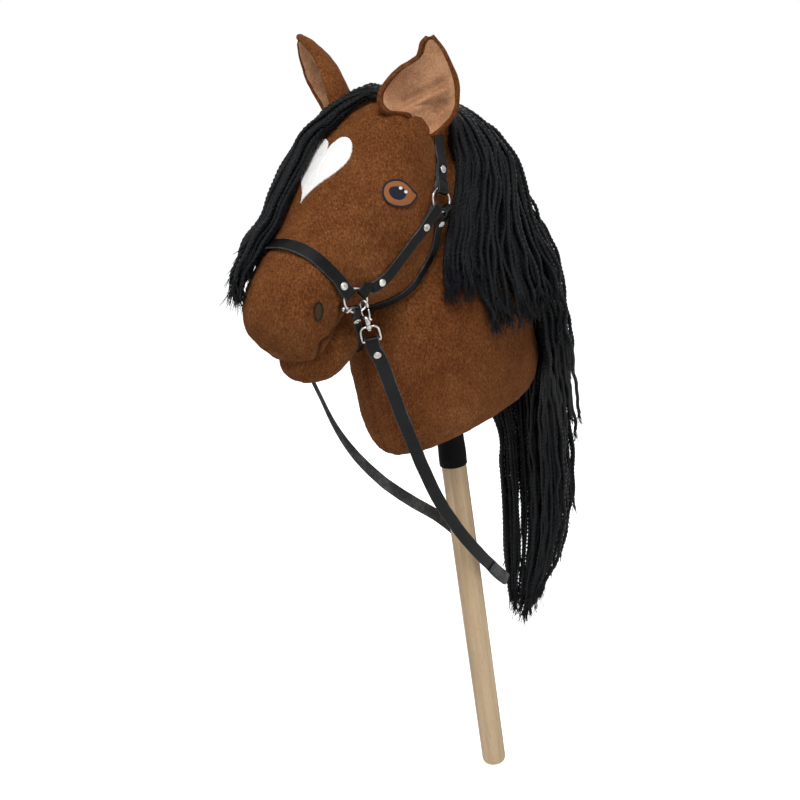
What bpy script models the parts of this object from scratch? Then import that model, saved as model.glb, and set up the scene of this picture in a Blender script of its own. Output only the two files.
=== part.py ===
"""Hobby horse: a stuffed plush head on a wooden stick, with a yarn mane, a strap bridle, a bit and clip-on reins.

Frame: origin at the centre of the stick's foot, +Z up the stick, the horse faces -Y and its left side is +X.
Sizes are in metres, and angles in radians.
"""

import math

import bmesh
import bpy
import numpy as np
from mathutils import Matrix, Vector

MM = 0.001

# Clearances between pieces
SEAT_GAP = 0.3 * MM
SEAM_GAP = 0.4 * MM
SKIN_GAP = 0.5 * MM
LOOP_GAP = 0.45 * MM

# Stick and sleeve
STICK_DIAMETER = 25 * MM
STICK_LENGTH = 600 * MM
FOOT_ROUNDING = 5.5 * MM
SLEEVE_BOTTOM = 344 * MM
SLEEVE_LENGTH = 110 * MM
SLEEVE_WALL = 1.0 * MM

# Plush covers over the stuffing
COVER_THICKNESS = 3 * MM
STUFFING_GAP = 1.5 * MM
GUSSET_HALF_AT_POLL = 34 * MM
GUSSET_HALF_AT_NOSE = 26 * MM

# Head sections, in millimetres: distance from the poll down the face, top, bottom, half width
POLL = Vector((0, -37 * MM, 708 * MM))
FACE_SLOPE = math.radians(44)
HEAD_SECTIONS = [
    (-16, -16, -28, 6),
    (-11, 0, -38, 28),
    (4, 8, -53, 45),
    (30, 13, -78, 57),
    (60, 15, -98, 63),
    (90, 15, -113, 64),
    (116, 15, -123, 60),
    (136, 14, -125, 54),
    (156, 14, -102, 49),
    (176, 14, -71, 46),
    (204, 13, -61, 43),
    (222, 8, -62, 41),
    (237, -2, -60, 34),
    (246, -16, -51, 20),
    (249, -28, -39, 5),
]

# Neck sections, in millimetres: height above the neck's root, front, back, half width
NECK_ROOT = Vector((0, 6 * MM, 382 * MM))
NECK_LEAN = math.radians(5)
NECK_SECTIONS = [
    (3, -74, -44, 6),
    (6, -83, 16, 26),
    (11, -89, 88, 44),
    (20, -93, 110, 58),
    (42, -96, 117, 67),
    (72, -96, 118, 70),
    (110, -92, 118, 71),
    (150, -80, 115, 67),
    (200, -56, 107, 60),
    (250, -30, 90, 52),
    (285, -14, 66, 42),
    (303, -4, 50, 28),
    (311, 8, 38, 13),
    (313, 16, 30, 5),
]

# Lower jaw sections, in millimetres: distance from the throat to the chin, top, bottom, half width
JAW_ROOT = Vector((0, -113 * MM, 516 * MM))
JAW_SLOPE = math.radians(21)
JAW_SECTIONS = [
    (-4, 6, -4, 6),
    (0, 17, -14, 16),
    (10, 23, -21, 23),
    (28, 25, -24, 27),
    (44, 24, -24, 27),
    (59, 20, -18, 23),
    (69, 14, -10, 15),
    (73, 6, 0, 5),
]

# Ears
LEFT_EAR_ROOT = Vector((46 * MM, -46 * MM, 676 * MM))
LEFT_EAR_ACROSS = Vector((0.68, 0.72, 0.1))
LEFT_EAR_UP = Vector((0.22, -0.01, 0.97))
RIGHT_EAR_ROOT = Vector((-41 * MM, -52 * MM, 698 * MM))
RIGHT_EAR_ACROSS = Vector((-0.93, 0.26, -0.24))
RIGHT_EAR_UP = Vector((-0.25, -0.02, 0.968))
EAR_PLUSH = 2.6 * MM
EAR_FELT = 1.4 * MM
EAR_GAP = 0.7 * MM
# Each row, in millimetres: height, offset across, half width, cup depth
EAR_ROWS = [
    (-14, -1, 19, 12),
    (-3, 0, 26, 13),
    (8, 3, 30, 11),
    (20, 5, 32, 8),
    (33, 9, 29, 6),
    (46, 13, 22, 4.5),
    (58, 16, 13, 3),
    (67, 16, 6, 1.5),
    (72, 15, 1.6, 0.4),
]

# Appliques on the cover
APPLIQUE_THICKNESS = 0.7 * MM
HEART_TIP = 128 * MM
HEART_LENGTH = 68 * MM
HEART_WIDTH = 56 * MM
EYE_ALONG = 91 * MM
EYE_ANGLE = math.radians(18)
EYE_LENGTH = 33 * MM
EYE_HEIGHT = 27 * MM
NOSTRIL_ALONG = 212 * MM
NOSTRIL_ANGLE = math.radians(5)
NOSTRIL_LENGTH = 20 * MM
NOSTRIL_WIDTH = 10 * MM

# Straps of the bridle
STRAP_WIDTH = 11.5 * MM
CHEEK_STRAP_WIDTH = 9.5 * MM
THROAT_STRAP_WIDTH = 8 * MM
CHIN_STRAP_WIDTH = 6 * MM
STRAP_THICKNESS = 1.4 * MM
LAP_GAP = 0.4 * MM
LAP_CLEAR = 4 * MM
FREE_SPAN = 11 * MM
SPAN_STEP = 7 * MM
# For each strap: the angle in degrees where it meets its ring, the lap's length and how far along the rivet sits
NOSEBAND_ANGLE = 124
NOSEBAND_LAP = 17 * MM
NOSEBAND_RIVET = 9.5 * MM
CHEEK_LOW_ANGLE = 31
CHEEK_HIGH_ANGLE = 219
CHEEK_LOW_LAP = 32 * MM
CHEEK_LOW_RIVET = 27 * MM
CHEEK_HIGH_LAP = 26 * MM
CHEEK_HIGH_RIVET = 21 * MM
CROWN_ANGLE = 68
CROWN_LAP = 26 * MM
CROWN_RIVET = 20.5 * MM
THROAT_ANGLE = -65
THROAT_LAP = 22 * MM
THROAT_RIVET = 16 * MM
# Where it passes behind the cheek, in millimetres
THROAT_PLACES = [(50, -50, 562), (47, -59, 554), (40, -67, 546), (30, -78, 540), (16, -88, 533), (0, -92, 528)]
CHIN_ANGLE = -98
CHIN_LAP = 15 * MM
CHIN_RIVET = 10.5 * MM

# Rings
RING_WIRE = 2.0 * MM
RING_ACROSS = 22 * MM
RING_RADIUS = (RING_ACROSS - RING_WIRE) / 2
BIT_RING = Vector((51.5 * MM, -141 * MM, 547.5 * MM))
BIT_RING_NORMAL = Vector((0.9, -0.4, 0.1))
CHEEK_RING = Vector((68 * MM, -40 * MM, 613 * MM))
CHEEK_RING_NORMAL = Vector((0.98, -0.02, 0.1))

# Rivets
RIVET_HEAD = 7 * MM
RIVET_DOME = 1.2 * MM
RIVET_SHANK = 2.2 * MM
RIVET_SEAT = 0.6 * MM

# Bit: a straight bar with an eye round each ring
BIT_BAR = 4 * MM
BIT_ANGLE = 215
BIT_EYE_RADIUS = 3.0 * MM
BIT_EYE_WIRE = 2.0 * MM

# Trigger snap hooks and their swivel rings
SNAP_ANGLE = -54
SNAP_DROP = Vector((0.02, 0.08, -0.99)).normalized()
SNAP_ACROSS = Vector((0.985, 0.174, 0))
SNAP_WIRE = 2.2 * MM
SNAP_OPENING = 5.8 * MM
SNAP_LENGTH = 17 * MM
SNAP_SLACK = 2.4 * MM
SWIVEL_WIRE = 2.0 * MM
SWIVEL_ACROSS = Vector((0.69, 0.71, 0))

# Reins: one strap, from the left hook round behind the stick to the right hook
REIN_WIDTH = 12 * MM
REIN_THICKNESS = 2.2 * MM
REIN_LAP = 20 * MM
REIN_RIVET = 13 * MM
# Each row, in millimetres: the strap's middle and the way its outer face looks
REIN_ROUTE = [
    ((55, -126, 490), (0.68, -0.73, 0.0)),
    ((48, -112, 459), (0.66, -0.74, 0.1)),
    ((42, -97, 422), (0.66, -0.74, 0.15)),
    ((37, -80, 380), (0.66, -0.72, 0.18)),
    ((33, -62, 338), (0.72, -0.66, 0.2)),
    ((31, -42, 302), (0.78, -0.6, 0.2)),
    ((30, -20, 268), (0.86, -0.45, 0.15)),
    ((27, 6, 236), (0.93, -0.2, -0.1)),
    ((19, 31, 211), (0.86, 0.3, -0.4)),
    ((6, 47, 198), (0.35, 0.7, -0.65)),
    ((-8, 49, 203), (-0.5, 0.7, -0.5)),
    ((-18, 40, 224), (-0.86, 0.45, -0.2)),
    ((-24, 22, 252), (-0.95, 0.2, 0.0)),
    ((-28, -4, 283), (-0.97, -0.05, 0.1)),
    ((-32, -34, 311), (-0.95, -0.25, 0.1)),
    ((-36, -63, 341), (-0.9, -0.4, 0.1)),
    ((-41, -88, 376), (-0.85, -0.5, 0.1)),
    ((-46, -104, 410), (-0.75, -0.65, 0.05)),
    ((-51, -114, 448), (-0.66, -0.74, 0.0)),
    ((-55, -126, 490), (-0.68, -0.73, 0.0)),
]
REIN_WRAP_FROM = 7
REIN_WRAP_TO = 9
REIN_WRAP_THICKNESS = 1.2 * MM

# Mane. Levels in millimetres: height, how far forward the front edge of the yarn lies
MANE_LEVELS = [
    (690, 8),
    (676, 4),
    (655, -3),
    (630, -10),
    (605, -20),
    (580, -32),
    (556, -42),
    (528, -48),
    (505, -48),
    (488, -48),
    (465, -48),
    (440, -48),
    (415, -48),
    (400, -48),
]
MANE_GAP = 2.1 * MM
MANE_FRONT_DEPTH = 9 * MM
MANE_BACK_DEPTH = 27 * MM
MANE_FULL_AT = math.radians(38)

# The long tail of the mane. Each row, in millimetres: middle, half width, half depth
TAIL_ROWS = [
    ((0, 133, 394), 46, 26),
    ((0, 136, 350), 41, 36),
    ((0, 132, 300), 40, 38),
    ((0, 124, 250), 38, 38),
    ((0, 108, 205), 32, 30),
    ((0, 90, 170), 22, 20),
    ((0, 78, 146), 12, 10),
]

# The forelock. Each row: distance down the face, angle round the head in degrees, half width, half depth
FORELOCK_GAP = 4 * MM
FORELOCK_ROWS = [
    (-6, 84, 9, 4),
    (12, 87, 13, 7),
    (36, 95, 14, 9),
    (62, 105, 14, 10),
    (92, 114, 14, 10),
    (122, 121, 14, 10.5),
    (150, 127, 14, 10.5),
    (178, 132, 13, 10),
    (208, 137, 9, 6),
]


def smooth_through(rows, count):
    """Points of a smooth curve through all the rows, count steps between neighbours."""
    rows = np.array(rows, float)
    ends = np.vstack([2 * rows[0] - rows[1], rows, 2 * rows[-1] - rows[-2]])
    found = []
    for i in range(len(rows) - 1):
        a, b, c, d = ends[i : i + 4]
        for t in np.arange(count) / count:
            quadratic = (2 * a - 5 * b + 4 * c - d) * t**2
            cubic = (3 * b - a - 3 * c + d) * t**3
            found.append(0.5 * (2 * b + (c - a) * t + quadratic + cubic))
    return np.array(found + [rows[-1]])


class Form:
    """A soft body of oval sections along an axis. An oval's angle is 0 at its left side and a quarter turn at its top."""

    def __init__(self, origin, axis, up, sections, fullness):
        self.origin = np.array(origin)
        self.axis = np.array(axis)
        self.up = np.array(up)
        self.fullness = fullness
        self.sections = np.array(sections) * MM
        self.fine = self.table(8)

    def table(self, steps):
        """Distance along the axis, centre height, half height and half width of the smoothed sections."""
        rows = smooth_through(self.sections, steps)
        half = np.abs(rows[:, 1] - rows[:, 2]) / 2
        return rows[:, 0], (rows[:, 1] + rows[:, 2]) / 2, half, rows[:, 3]

    def oval(self, angle):
        """How far up and how far left a place on a unit oval lies."""
        power = 2 / self.fullness
        high = np.sign(np.sin(angle)) * np.abs(np.sin(angle)) ** power
        wide = np.sign(np.cos(angle)) * np.abs(np.cos(angle)) ** power
        return high, wide

    def rings(self, steps, around):
        """The smoothed sections as rings of points."""
        high, wide = self.oval(np.arange(around) * 2 * math.pi / around)
        found = []
        for s, centre, half, width in zip(*self.table(steps)):
            height = centre + half * high
            found.append(
                self.origin + s * self.axis + np.outer(height, self.up) + np.outer(width * wide, (1, 0, 0))
            )
        return found

    def inside(self, places):
        """Which of the places lie inside the body."""
        along, centre, half, width = self.fine
        rel = np.asarray(places) - self.origin
        s = rel @ self.axis
        height = np.abs(rel @ self.up - np.interp(s, along, centre)) / np.interp(s, along, half)
        side = np.abs(rel[:, 0]) / np.interp(s, along, width)
        within = (s > along[0]) & (s < along[-1])
        return within & (height**self.fullness + side**self.fullness < 1)

    def place(self, s, angle):
        """The point of the surface at a distance along the axis and an angle round the oval."""
        along, centre, half, width = self.fine
        high, wide = self.oval(angle)
        height = np.interp(s, along, centre) + np.interp(s, along, half) * high
        side = np.interp(s, along, width) * wide
        return Vector(self.origin + s * self.axis + height * self.up + np.array((side, 0, 0)))

    def normal(self, s, angle):
        """The outward normal of the surface there."""
        step = 2 * MM
        turn = math.radians(3)
        along = self.place(s + step, angle) - self.place(s - step, angle)
        around = self.place(s, angle + turn) - self.place(s, angle - turn)
        out = along.cross(around).normalized()
        height = np.interp(s, self.fine[0], self.fine[1])
        centre = Vector(self.origin + s * self.axis + height * self.up)
        return out if out.dot(self.place(s, angle) - centre) > 0 else -out


def lean(angle):
    """The axis and the up direction of a form that points down and forward by an angle."""
    return (0, -math.cos(angle), -math.sin(angle)), (0, -math.sin(angle), math.cos(angle))


HEAD = Form(POLL, *lean(FACE_SLOPE), HEAD_SECTIONS, 2.3)
JAW = Form(JAW_ROOT, *lean(JAW_SLOPE), JAW_SECTIONS, 2.3)
# The neck's rows give its front as top and its back as bottom, so its up direction is forward.
NECK = Form(
    NECK_ROOT,
    (0, -math.sin(NECK_LEAN), math.cos(NECK_LEAN)),
    (0, -math.cos(NECK_LEAN), -math.sin(NECK_LEAN)),
    [(s, -front, -back, width) for s, front, back, width in NECK_SECTIONS],
    2.1,
)
FORMS = [HEAD, NECK, JAW]
REACH = np.linspace(0, 180 * MM, 721)


def skin(start, direction, forms=None):
    """How far it is from a start inside the body to the place where a ray leaves it."""
    places = np.array(start) + REACH[:, None] * np.array(direction)
    covered = np.any([form.inside(places) for form in forms or FORMS], axis=0)
    return 0.0 if covered.all() else float(REACH[np.argmin(covered)])


def mirrored(vector):
    return Vector((-vector.x, vector.y, vector.z))


# Scene, collections and materials


def clear_scene():
    for old in list(bpy.data.objects):
        bpy.data.objects.remove(old, do_unlink=True)


def new_collection(name):
    made = bpy.data.collections.new(name)
    bpy.context.scene.collection.children.link(made)
    return made


def material(name, colour, roughness, metallic=0.0):
    made = bpy.data.materials.new(name)
    made.use_nodes = True
    shader = made.node_tree.nodes["Principled BSDF"]
    shader.inputs["Base Color"].default_value = (*colour, 1)
    shader.inputs["Roughness"].default_value = roughness
    shader.inputs["Metallic"].default_value = metallic
    made.diffuse_color = (*colour, 1)
    return made


def file_object(made, finish, helper=False):
    """Puts an object among the parts, or among the cutters if it is a helper."""
    for old in list(made.users_collection):
        old.objects.unlink(made)
    (cutters if helper else parts).objects.link(made)
    made.hide_render = helper
    if helper:
        made.display_type = "WIRE"
    elif finish:
        made.data.materials.clear()
        made.data.materials.append(finish)
    return made


def mesh_object(name, vertices, faces, finish=None, helper=False, sharp=None):
    mesh = bpy.data.meshes.new(name)
    mesh.from_pydata([tuple(v) for v in vertices], [], faces)
    work = bmesh.new()
    work.from_mesh(mesh)
    bmesh.ops.recalc_face_normals(work, faces=work.faces)
    work.to_mesh(mesh)
    work.free()
    mesh.shade_smooth()
    if sharp is not None:
        mesh.set_sharp_from_angle(angle=sharp)
    return file_object(bpy.data.objects.new(name, mesh), finish, helper)


def loft(rings):
    """Vertices and faces of a closed skin over rings of equal count."""
    count = len(rings[0])
    faces = []
    for k in range(len(rings) - 1):
        for i in range(count):
            j = (i + 1) % count
            faces.append((k * count + i, k * count + j, (k + 1) * count + j, (k + 1) * count + i))
    faces.append(tuple(reversed(range(count))))
    faces.append(tuple((len(rings) - 1) * count + i for i in range(count)))
    return np.vstack([np.array(ring) for ring in rings]), faces


def cut(piece, cutter, operation="DIFFERENCE"):
    modifier = piece.modifiers.new(cutter.name, "BOOLEAN")
    modifier.object = cutter
    modifier.operation = operation
    return piece


def shell(piece, thickness):
    """Gives a surface a wall that grows inwards."""
    modifier = piece.modifiers.new("wall", "SOLIDIFY")
    modifier.thickness = thickness
    modifier.offset = -1
    return piece


def swell(piece, distance):
    """Moves a mesh outwards along its normals."""
    work = bmesh.new()
    work.from_mesh(piece.data)
    work.normal_update()
    moved = [corner.co + corner.normal * distance for corner in work.verts]
    for corner, place in zip(work.verts, moved):
        corner.co = place
    work.to_mesh(piece.data)
    work.free()


def form_object(name, form, steps, around, grow=0.0, finish=None, helper=False):
    """The form as a closed mesh, moved outwards by grow."""
    made = mesh_object(name, *loft(form.rings(steps, around)), finish, helper)
    swell(made, grow)
    return made


def box_cutter(name, low, high):
    bpy.ops.mesh.primitive_cube_add(size=1, location=[(a + b) / 2 for a, b in zip(low, high)])
    made = bpy.context.object
    made.name = name
    made.data.transform(Matrix.Diagonal([b - a for a, b in zip(low, high)] + [1]))
    return file_object(made, None, helper=True)


def rod_cutter(name, middle, direction, radius, length, sides=12):
    bpy.ops.mesh.primitive_cylinder_add(vertices=sides, radius=radius, depth=length, location=middle)
    made = bpy.context.object
    made.name = name
    made.rotation_euler = Vector(direction).to_track_quat("Z", "Y").to_euler()
    return file_object(made, None, helper=True)


def turned(name, profile, segments, location, direction, finish):
    """A profile of (radius, height) rows, from the top down its outer side, turned about the direction."""
    mesh = bpy.data.meshes.new(name)
    mesh.from_pydata([(r, 0, h) for r, h in profile], [(i, i + 1) for i in range(len(profile) - 1)], [])
    made = file_object(bpy.data.objects.new(name, mesh), finish)
    screw = made.modifiers.new("turn", "SCREW")
    screw.steps = segments
    screw.render_steps = segments
    screw.use_merge_vertices = True
    screw.merge_threshold = 0.00001
    screw.use_smooth_shade = True
    made.location = location
    made.rotation_euler = Vector(direction).to_track_quat("Z", "Y").to_euler()
    return made


def wire(name, points, radius, finish=None, helper=False, radii=None, cyclic=False, sides=2):
    """A round bar along points, as a closed mesh. Radii are shares of the radius."""
    curve = bpy.data.curves.new(name, "CURVE")
    curve.dimensions = "3D"
    curve.bevel_depth = radius
    curve.bevel_resolution = sides
    curve.use_fill_caps = True
    spline = curve.splines.new("POLY")
    spline.points.add(len(points) - 1)
    for i, place in enumerate(points):
        spline.points[i].co = (*place, 1)
        spline.points[i].radius = radii[i] if radii else 1
    spline.use_cyclic_u = cyclic
    guide = bpy.data.objects.new(name, curve)
    bpy.context.scene.collection.objects.link(guide)
    graph = bpy.context.evaluated_depsgraph_get()
    mesh = bpy.data.meshes.new_from_object(guide.evaluated_get(graph))
    bpy.data.objects.remove(guide, do_unlink=True)
    work = bmesh.new()
    work.from_mesh(mesh)
    bmesh.ops.remove_doubles(work, verts=work.verts, dist=0.00001)
    bmesh.ops.recalc_face_normals(work, faces=work.faces)
    work.to_mesh(mesh)
    work.free()
    mesh.shade_smooth()
    mesh.name = name
    return file_object(bpy.data.objects.new(name, mesh), finish, helper)


# Stick and sleeve


def make_stick():
    radius = STICK_DIAMETER / 2
    rounding = [
        (radius - FOOT_ROUNDING * (1 - math.cos(a)), FOOT_ROUNDING * (1 - math.sin(a)))
        for a in np.radians([0, 25, 50, 75, 90])
    ]
    top = 2 * MM
    profile = [(0, STICK_LENGTH), (radius - top, STICK_LENGTH), (radius, STICK_LENGTH - top)]
    turned("stick", profile + rounding + [(0, 0)], 24, (0, 0, 0), (0, 0, 1), beech)


def make_sleeve():
    inner = STICK_DIAMETER / 2 + SEAT_GAP
    outer = inner + SLEEVE_WALL
    top = SLEEVE_BOTTOM + SLEEVE_LENGTH
    profile = [(inner, top), (outer, top), (outer, SLEEVE_BOTTOM), (inner, SLEEVE_BOTTOM), (inner, top)]
    turned("stick_sleeve", profile, 24, (0, 0, 0), (0, 0, 1), black_rubber)


# Stuffed head, jaw and neck


def gusset_block(name, extra):
    """The space of the face gusset: a tapering block over the face, the nose's end and the upper lip."""
    lower = extra / MM
    outline = [(-60, -22 - lower), (218 - lower, -22 - lower), (231 - lower, -72 - lower)]
    outline += [(300, -90 - lower), (300, 70), (-60, 70)]
    low, high = -60, 300
    sides = []
    for sign in (1, -1):
        for s, h in outline:
            share = (s - low) / (high - low)
            half = GUSSET_HALF_AT_POLL + (GUSSET_HALF_AT_NOSE - GUSSET_HALF_AT_POLL) * share + extra
            place = HEAD.origin + s * MM * HEAD.axis + h * MM * HEAD.up
            sides.append(Vector(place) + Vector((sign * half, 0, 0)))
    count = len(outline)
    faces = [tuple(range(count)), tuple(range(2 * count - 1, count - 1, -1))]
    for i in range(count):
        j = (i + 1) % count
        faces.append((i, j, j + count, i + count))
    return mesh_object(name, sides, faces, helper=True)


def make_soft_body(bores):
    """The stuffing cores and the plush panels over them. Bores are cutters for the stick and the bit."""
    inner = -(COVER_THICKNESS + STUFFING_GAP)
    head_core = form_object("head_core_cutter", HEAD, 2, 16, inner + STUFFING_GAP, helper=True)
    head_outer = form_object("head_outer_cutter", HEAD, 2, 16, SEAM_GAP, helper=True)
    neck_core = form_object("neck_core_cutter", NECK, 1, 16, inner + STUFFING_GAP + SEAM_GAP, helper=True)
    neck_outer = form_object("neck_outer_cutter", NECK, 1, 16, SEAM_GAP, helper=True)
    wide = 300 * MM
    left = box_cutter("left_half", (SEAM_GAP / 2, -wide, 0), (wide, wide, 3 * wide))
    right = box_cutter("right_half", (-wide, -wide, 0), (-SEAM_GAP / 2, wide, 3 * wide))
    gusset = gusset_block("gusset_space", 0)
    gusset_room = gusset_block("gusset_room", SEAM_GAP)

    stuffing = form_object("head_stuffing", HEAD, 2, 14, inner, wadding)
    for name, side in (("head_cover_left", left), ("head_cover_right", right)):
        panel = shell(form_object(name, HEAD, 2, 16, 0, plush), COVER_THICKNESS)
        cut(panel, side, "INTERSECT")
        cut(panel, gusset_room)
        cut(panel, neck_core)
        cut_all(panel, bores)
    face = shell(form_object("face_gusset", HEAD, 2, 16, 0, plush), COVER_THICKNESS)
    cut(face, gusset, "INTERSECT")
    cut(face, neck_core)

    neck_stuffing = form_object("neck_stuffing", NECK, 1, 16, inner, wadding)
    cut(neck_stuffing, head_core)
    for name, side in (("neck_cover_left", left), ("neck_cover_right", right)):
        panel = shell(form_object(name, NECK, 1, 16, 0, plush), COVER_THICKNESS)
        cut(panel, side, "INTERSECT")
        cut(panel, head_outer)
        cut_all(panel, bores)

    jaw_stuffing = form_object("jaw_stuffing", JAW, 1, 12, inner, wadding)
    jaw_cover = shell(form_object("jaw_cover", JAW, 2, 12, 0, plush), COVER_THICKNESS)
    for piece in (jaw_stuffing, jaw_cover):
        cut(piece, head_outer)
        cut(piece, neck_outer)
    for piece in (stuffing, neck_stuffing, jaw_stuffing, jaw_cover):
        cut_all(piece, bores)
    return head_outer, neck_outer


def cut_all(piece, bores):
    for bore in bores:
        cut(piece, bore)


def stick_bores():
    """Cutters for the stick and its sleeve."""
    sleeve = STICK_DIAMETER / 2 + SEAT_GAP + SLEEVE_WALL + SEAT_GAP
    top = SLEEVE_BOTTOM + SLEEVE_LENGTH + SEAT_GAP
    low = SLEEVE_BOTTOM - 20 * MM
    up = (0, 0, 1)
    around_sleeve = rod_cutter("sleeve_bore", (0, 0, (low + top) / 2), up, sleeve, top - low, 24)
    radius = STICK_DIAMETER / 2 + SEAT_GAP
    end = STICK_LENGTH + SEAT_GAP
    around_stick = rod_cutter("stick_bore", (0, 0, (low + end) / 2), up, radius, end - low, 24)
    return [around_sleeve, around_stick]


# Ears


def make_ear(name, root, across, up, facing, depth, thickness, finish, cutters_near):
    """A cupped leaf, set back along its normals by a depth, with a wall that grows to its back."""
    across = across.normalized()
    up = up.normalized()
    front = across.cross(up).normalized() * facing
    leaf = []
    for height, offset, half, cup in np.array(EAR_ROWS) * MM:
        for u in np.linspace(-1, 1, 7):
            leaf.append(root + up * height + across * (offset + half * u) + front * (cup * (u * u - 1)))
    faces = []
    for k in range(len(EAR_ROWS) - 1):
        for i in range(6):
            faces.append((7 * k + i, 7 * k + i + 1, 7 * k + i + 8, 7 * k + i + 7))
    made = mesh_object(name, leaf, faces, finish)
    if made.data.polygons[len(faces) // 2].normal.dot(front) < 0:
        made.data.flip_normals()
    swell(made, -depth)
    shell(made, thickness)
    cut_all(made, cutters_near)


def make_ears(forms_near):
    left = (LEFT_EAR_ROOT, LEFT_EAR_ACROSS, LEFT_EAR_UP, 1)
    right = (RIGHT_EAR_ROOT, RIGHT_EAR_ACROSS, RIGHT_EAR_UP, -1)
    for word, stand in (("left", left), ("right", right)):
        make_ear("ear_%s_lining" % word, *stand, 0, EAR_FELT, felt, forms_near)
        make_ear("ear_%s" % word, *stand, EAR_FELT + EAR_GAP, EAR_PLUSH, plush, forms_near)


# Appliques: the heart, the eyes and the nostrils


def applique(name, s, angle, outline, finish, side=1):
    """A thin patch that follows the cover. Its outline is in metres, along the face and across it."""
    place = HEAD.place(s, angle)
    out = HEAD.normal(s, angle)
    along = (Vector(HEAD.axis) - out * Vector(HEAD.axis).dot(out)).normalized()
    across = out.cross(along).normalized()
    rings = [[(0.0, 0.0)]]
    for share in (0.35, 0.7, 1.0):
        rings.append([(a * share, b * share) for a, b in outline])
    start_depth = 25 * MM
    faces = []
    low = []
    high = []
    for ring in rings:
        for a, b in ring:
            start = place - out * start_depth + along * a + across * b
            reach = skin(start, out, [HEAD])
            for store, lift in ((low, SKIN_GAP), (high, SKIN_GAP + APPLIQUE_THICKNESS)):
                point = start + out * (reach + lift)
                store.append(point if side > 0 else mirrored(point))
    count = len(outline)
    total = len(low)
    for i in range(count):
        j = (i + 1) % count
        faces.append((0, 1 + i, 1 + j))
        for k in range(len(rings) - 2):
            a = 1 + k * count
            b = a + count
            faces.append((a + i, b + i, b + j, a + j))
    back = [tuple(v + total for v in reversed(face)) for face in faces]
    edge = 1 + (len(rings) - 2) * count
    rim = [(edge + i, edge + total + i, edge + total + (i + 1) % count, edge + (i + 1) % count) for i in range(count)]
    return mesh_object(name, low + high, faces + back + rim, finish, sharp=math.radians(50))


def heart_outline():
    """A heart with its tip towards the nose, about its middle."""
    found = []
    for t in np.linspace(0, 2 * math.pi, 24, endpoint=False):
        across = math.sin(t) ** 3
        along = (13 * math.cos(t) - 5 * math.cos(2 * t) - 2 * math.cos(3 * t) - math.cos(4 * t)) / 14.5
        found.append((-along * HEART_LENGTH / 2, across * HEART_WIDTH / 2))
    return found


def eye_outline():
    """An almond with its point towards the ear."""
    found = []
    for t in np.linspace(0, 2 * math.pi, 16, endpoint=False):
        narrowing = 1 - 0.28 * (1 - math.cos(t)) / 2
        sharp = math.copysign(abs(math.sin(t)) ** 1.2, math.sin(t))
        found.append((EYE_LENGTH / 2 * math.cos(t), EYE_HEIGHT / 2 * sharp * narrowing))
    return turned_outline(found, math.radians(-38))


def turned_outline(outline, angle):
    c, s = math.cos(angle), math.sin(angle)
    return [(a * c - b * s, a * s + b * c) for a, b in outline]


def nostril_outline():
    oval = [
        (NOSTRIL_LENGTH / 2 * math.cos(t), NOSTRIL_WIDTH / 2 * math.sin(t))
        for t in np.linspace(0, 2 * math.pi, 14, endpoint=False)
    ]
    return turned_outline(oval, math.radians(30))


def make_appliques():
    middle = HEART_TIP - 0.585 * HEART_LENGTH
    applique("heart_blaze", middle, math.pi / 2, heart_outline(), white_felt)
    for side, word in ((1, "left"), (-1, "right")):
        applique("eye_%s" % word, EYE_ALONG, EYE_ANGLE, eye_outline(), eye_thread, side)
        applique("nostril_%s" % word, NOSTRIL_ALONG, NOSTRIL_ANGLE, nostril_outline(), dark_thread, side)


# Bridle: rings, straps and rivets


def ring_place(centre, normal, angle):
    """A place on a ring's wire, and the way out from its centre. Angle 0 points to the tail, a quarter turn up."""
    normal = normal.normalized()
    back = (Vector((0, 1, 0)) - normal * normal.y).normalized()
    up = (Vector((0, 0, 1)) - normal * normal.z - back * back.z).normalized()
    way = back * math.cos(angle) + up * math.sin(angle)
    return centre + way * RING_RADIUS, way


def make_ring(name, centre, normal):
    bpy.ops.mesh.primitive_torus_add(
        major_segments=16,
        minor_segments=6,
        major_radius=RING_RADIUS,
        minor_radius=RING_WIRE / 2,
        location=centre,
    )
    made = bpy.context.object
    made.name = name
    made.rotation_euler = normal.to_track_quat("Z", "Y").to_euler()
    made.data.shade_smooth()
    return file_object(made, nickel)


def fan(centre, second, angles):
    """Rays in the plane of X and a second direction. Angle 0 is along X."""
    centre = Vector(centre) * MM
    second = Vector(second).normalized()
    rays = []
    for angle in np.radians(angles):
        rays.append((centre, Vector((math.cos(angle), 0, 0)) + second * math.sin(angle)))
    return rays


def side_rays(rows):
    """Rays to the left from places on the middle plane, in millimetres."""
    return [(Vector((0, y, z)) * MM, Vector((1, 0, 0))) for y, z in rows]


def mirrored_rays(rays):
    return [(mirrored(start), mirrored(out)) for start, out in reversed(rays)]


def laid(rays, width, thickness, near, forms):
    """A strap's track over the body, along rays that leave it. Close to the near places it is lifted by a lap."""
    middles = [start + out * skin(start, out, forms) for start, out in rays]
    last = len(rays) - 1
    track = []
    for i, (start, out) in enumerate(rays):
        if any((middles[i] - place).length < FREE_SPAN for place, _ in near):
            continue
        side = (middles[min(i + 1, last)] - middles[max(i - 1, 0)]).cross(out).normalized()
        reach = max(skin(start + side * (k * width / 2), out, forms) for k in (-1, -0.5, 0, 0.5, 1))
        lapped = any((middles[i] - place).length < lap + LAP_CLEAR for place, lap in near)
        lift = SKIN_GAP + thickness / 2 + (thickness + LAP_GAP if lapped else 0)
        track.append((start + out * (reach + lift), out))
    return track


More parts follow.
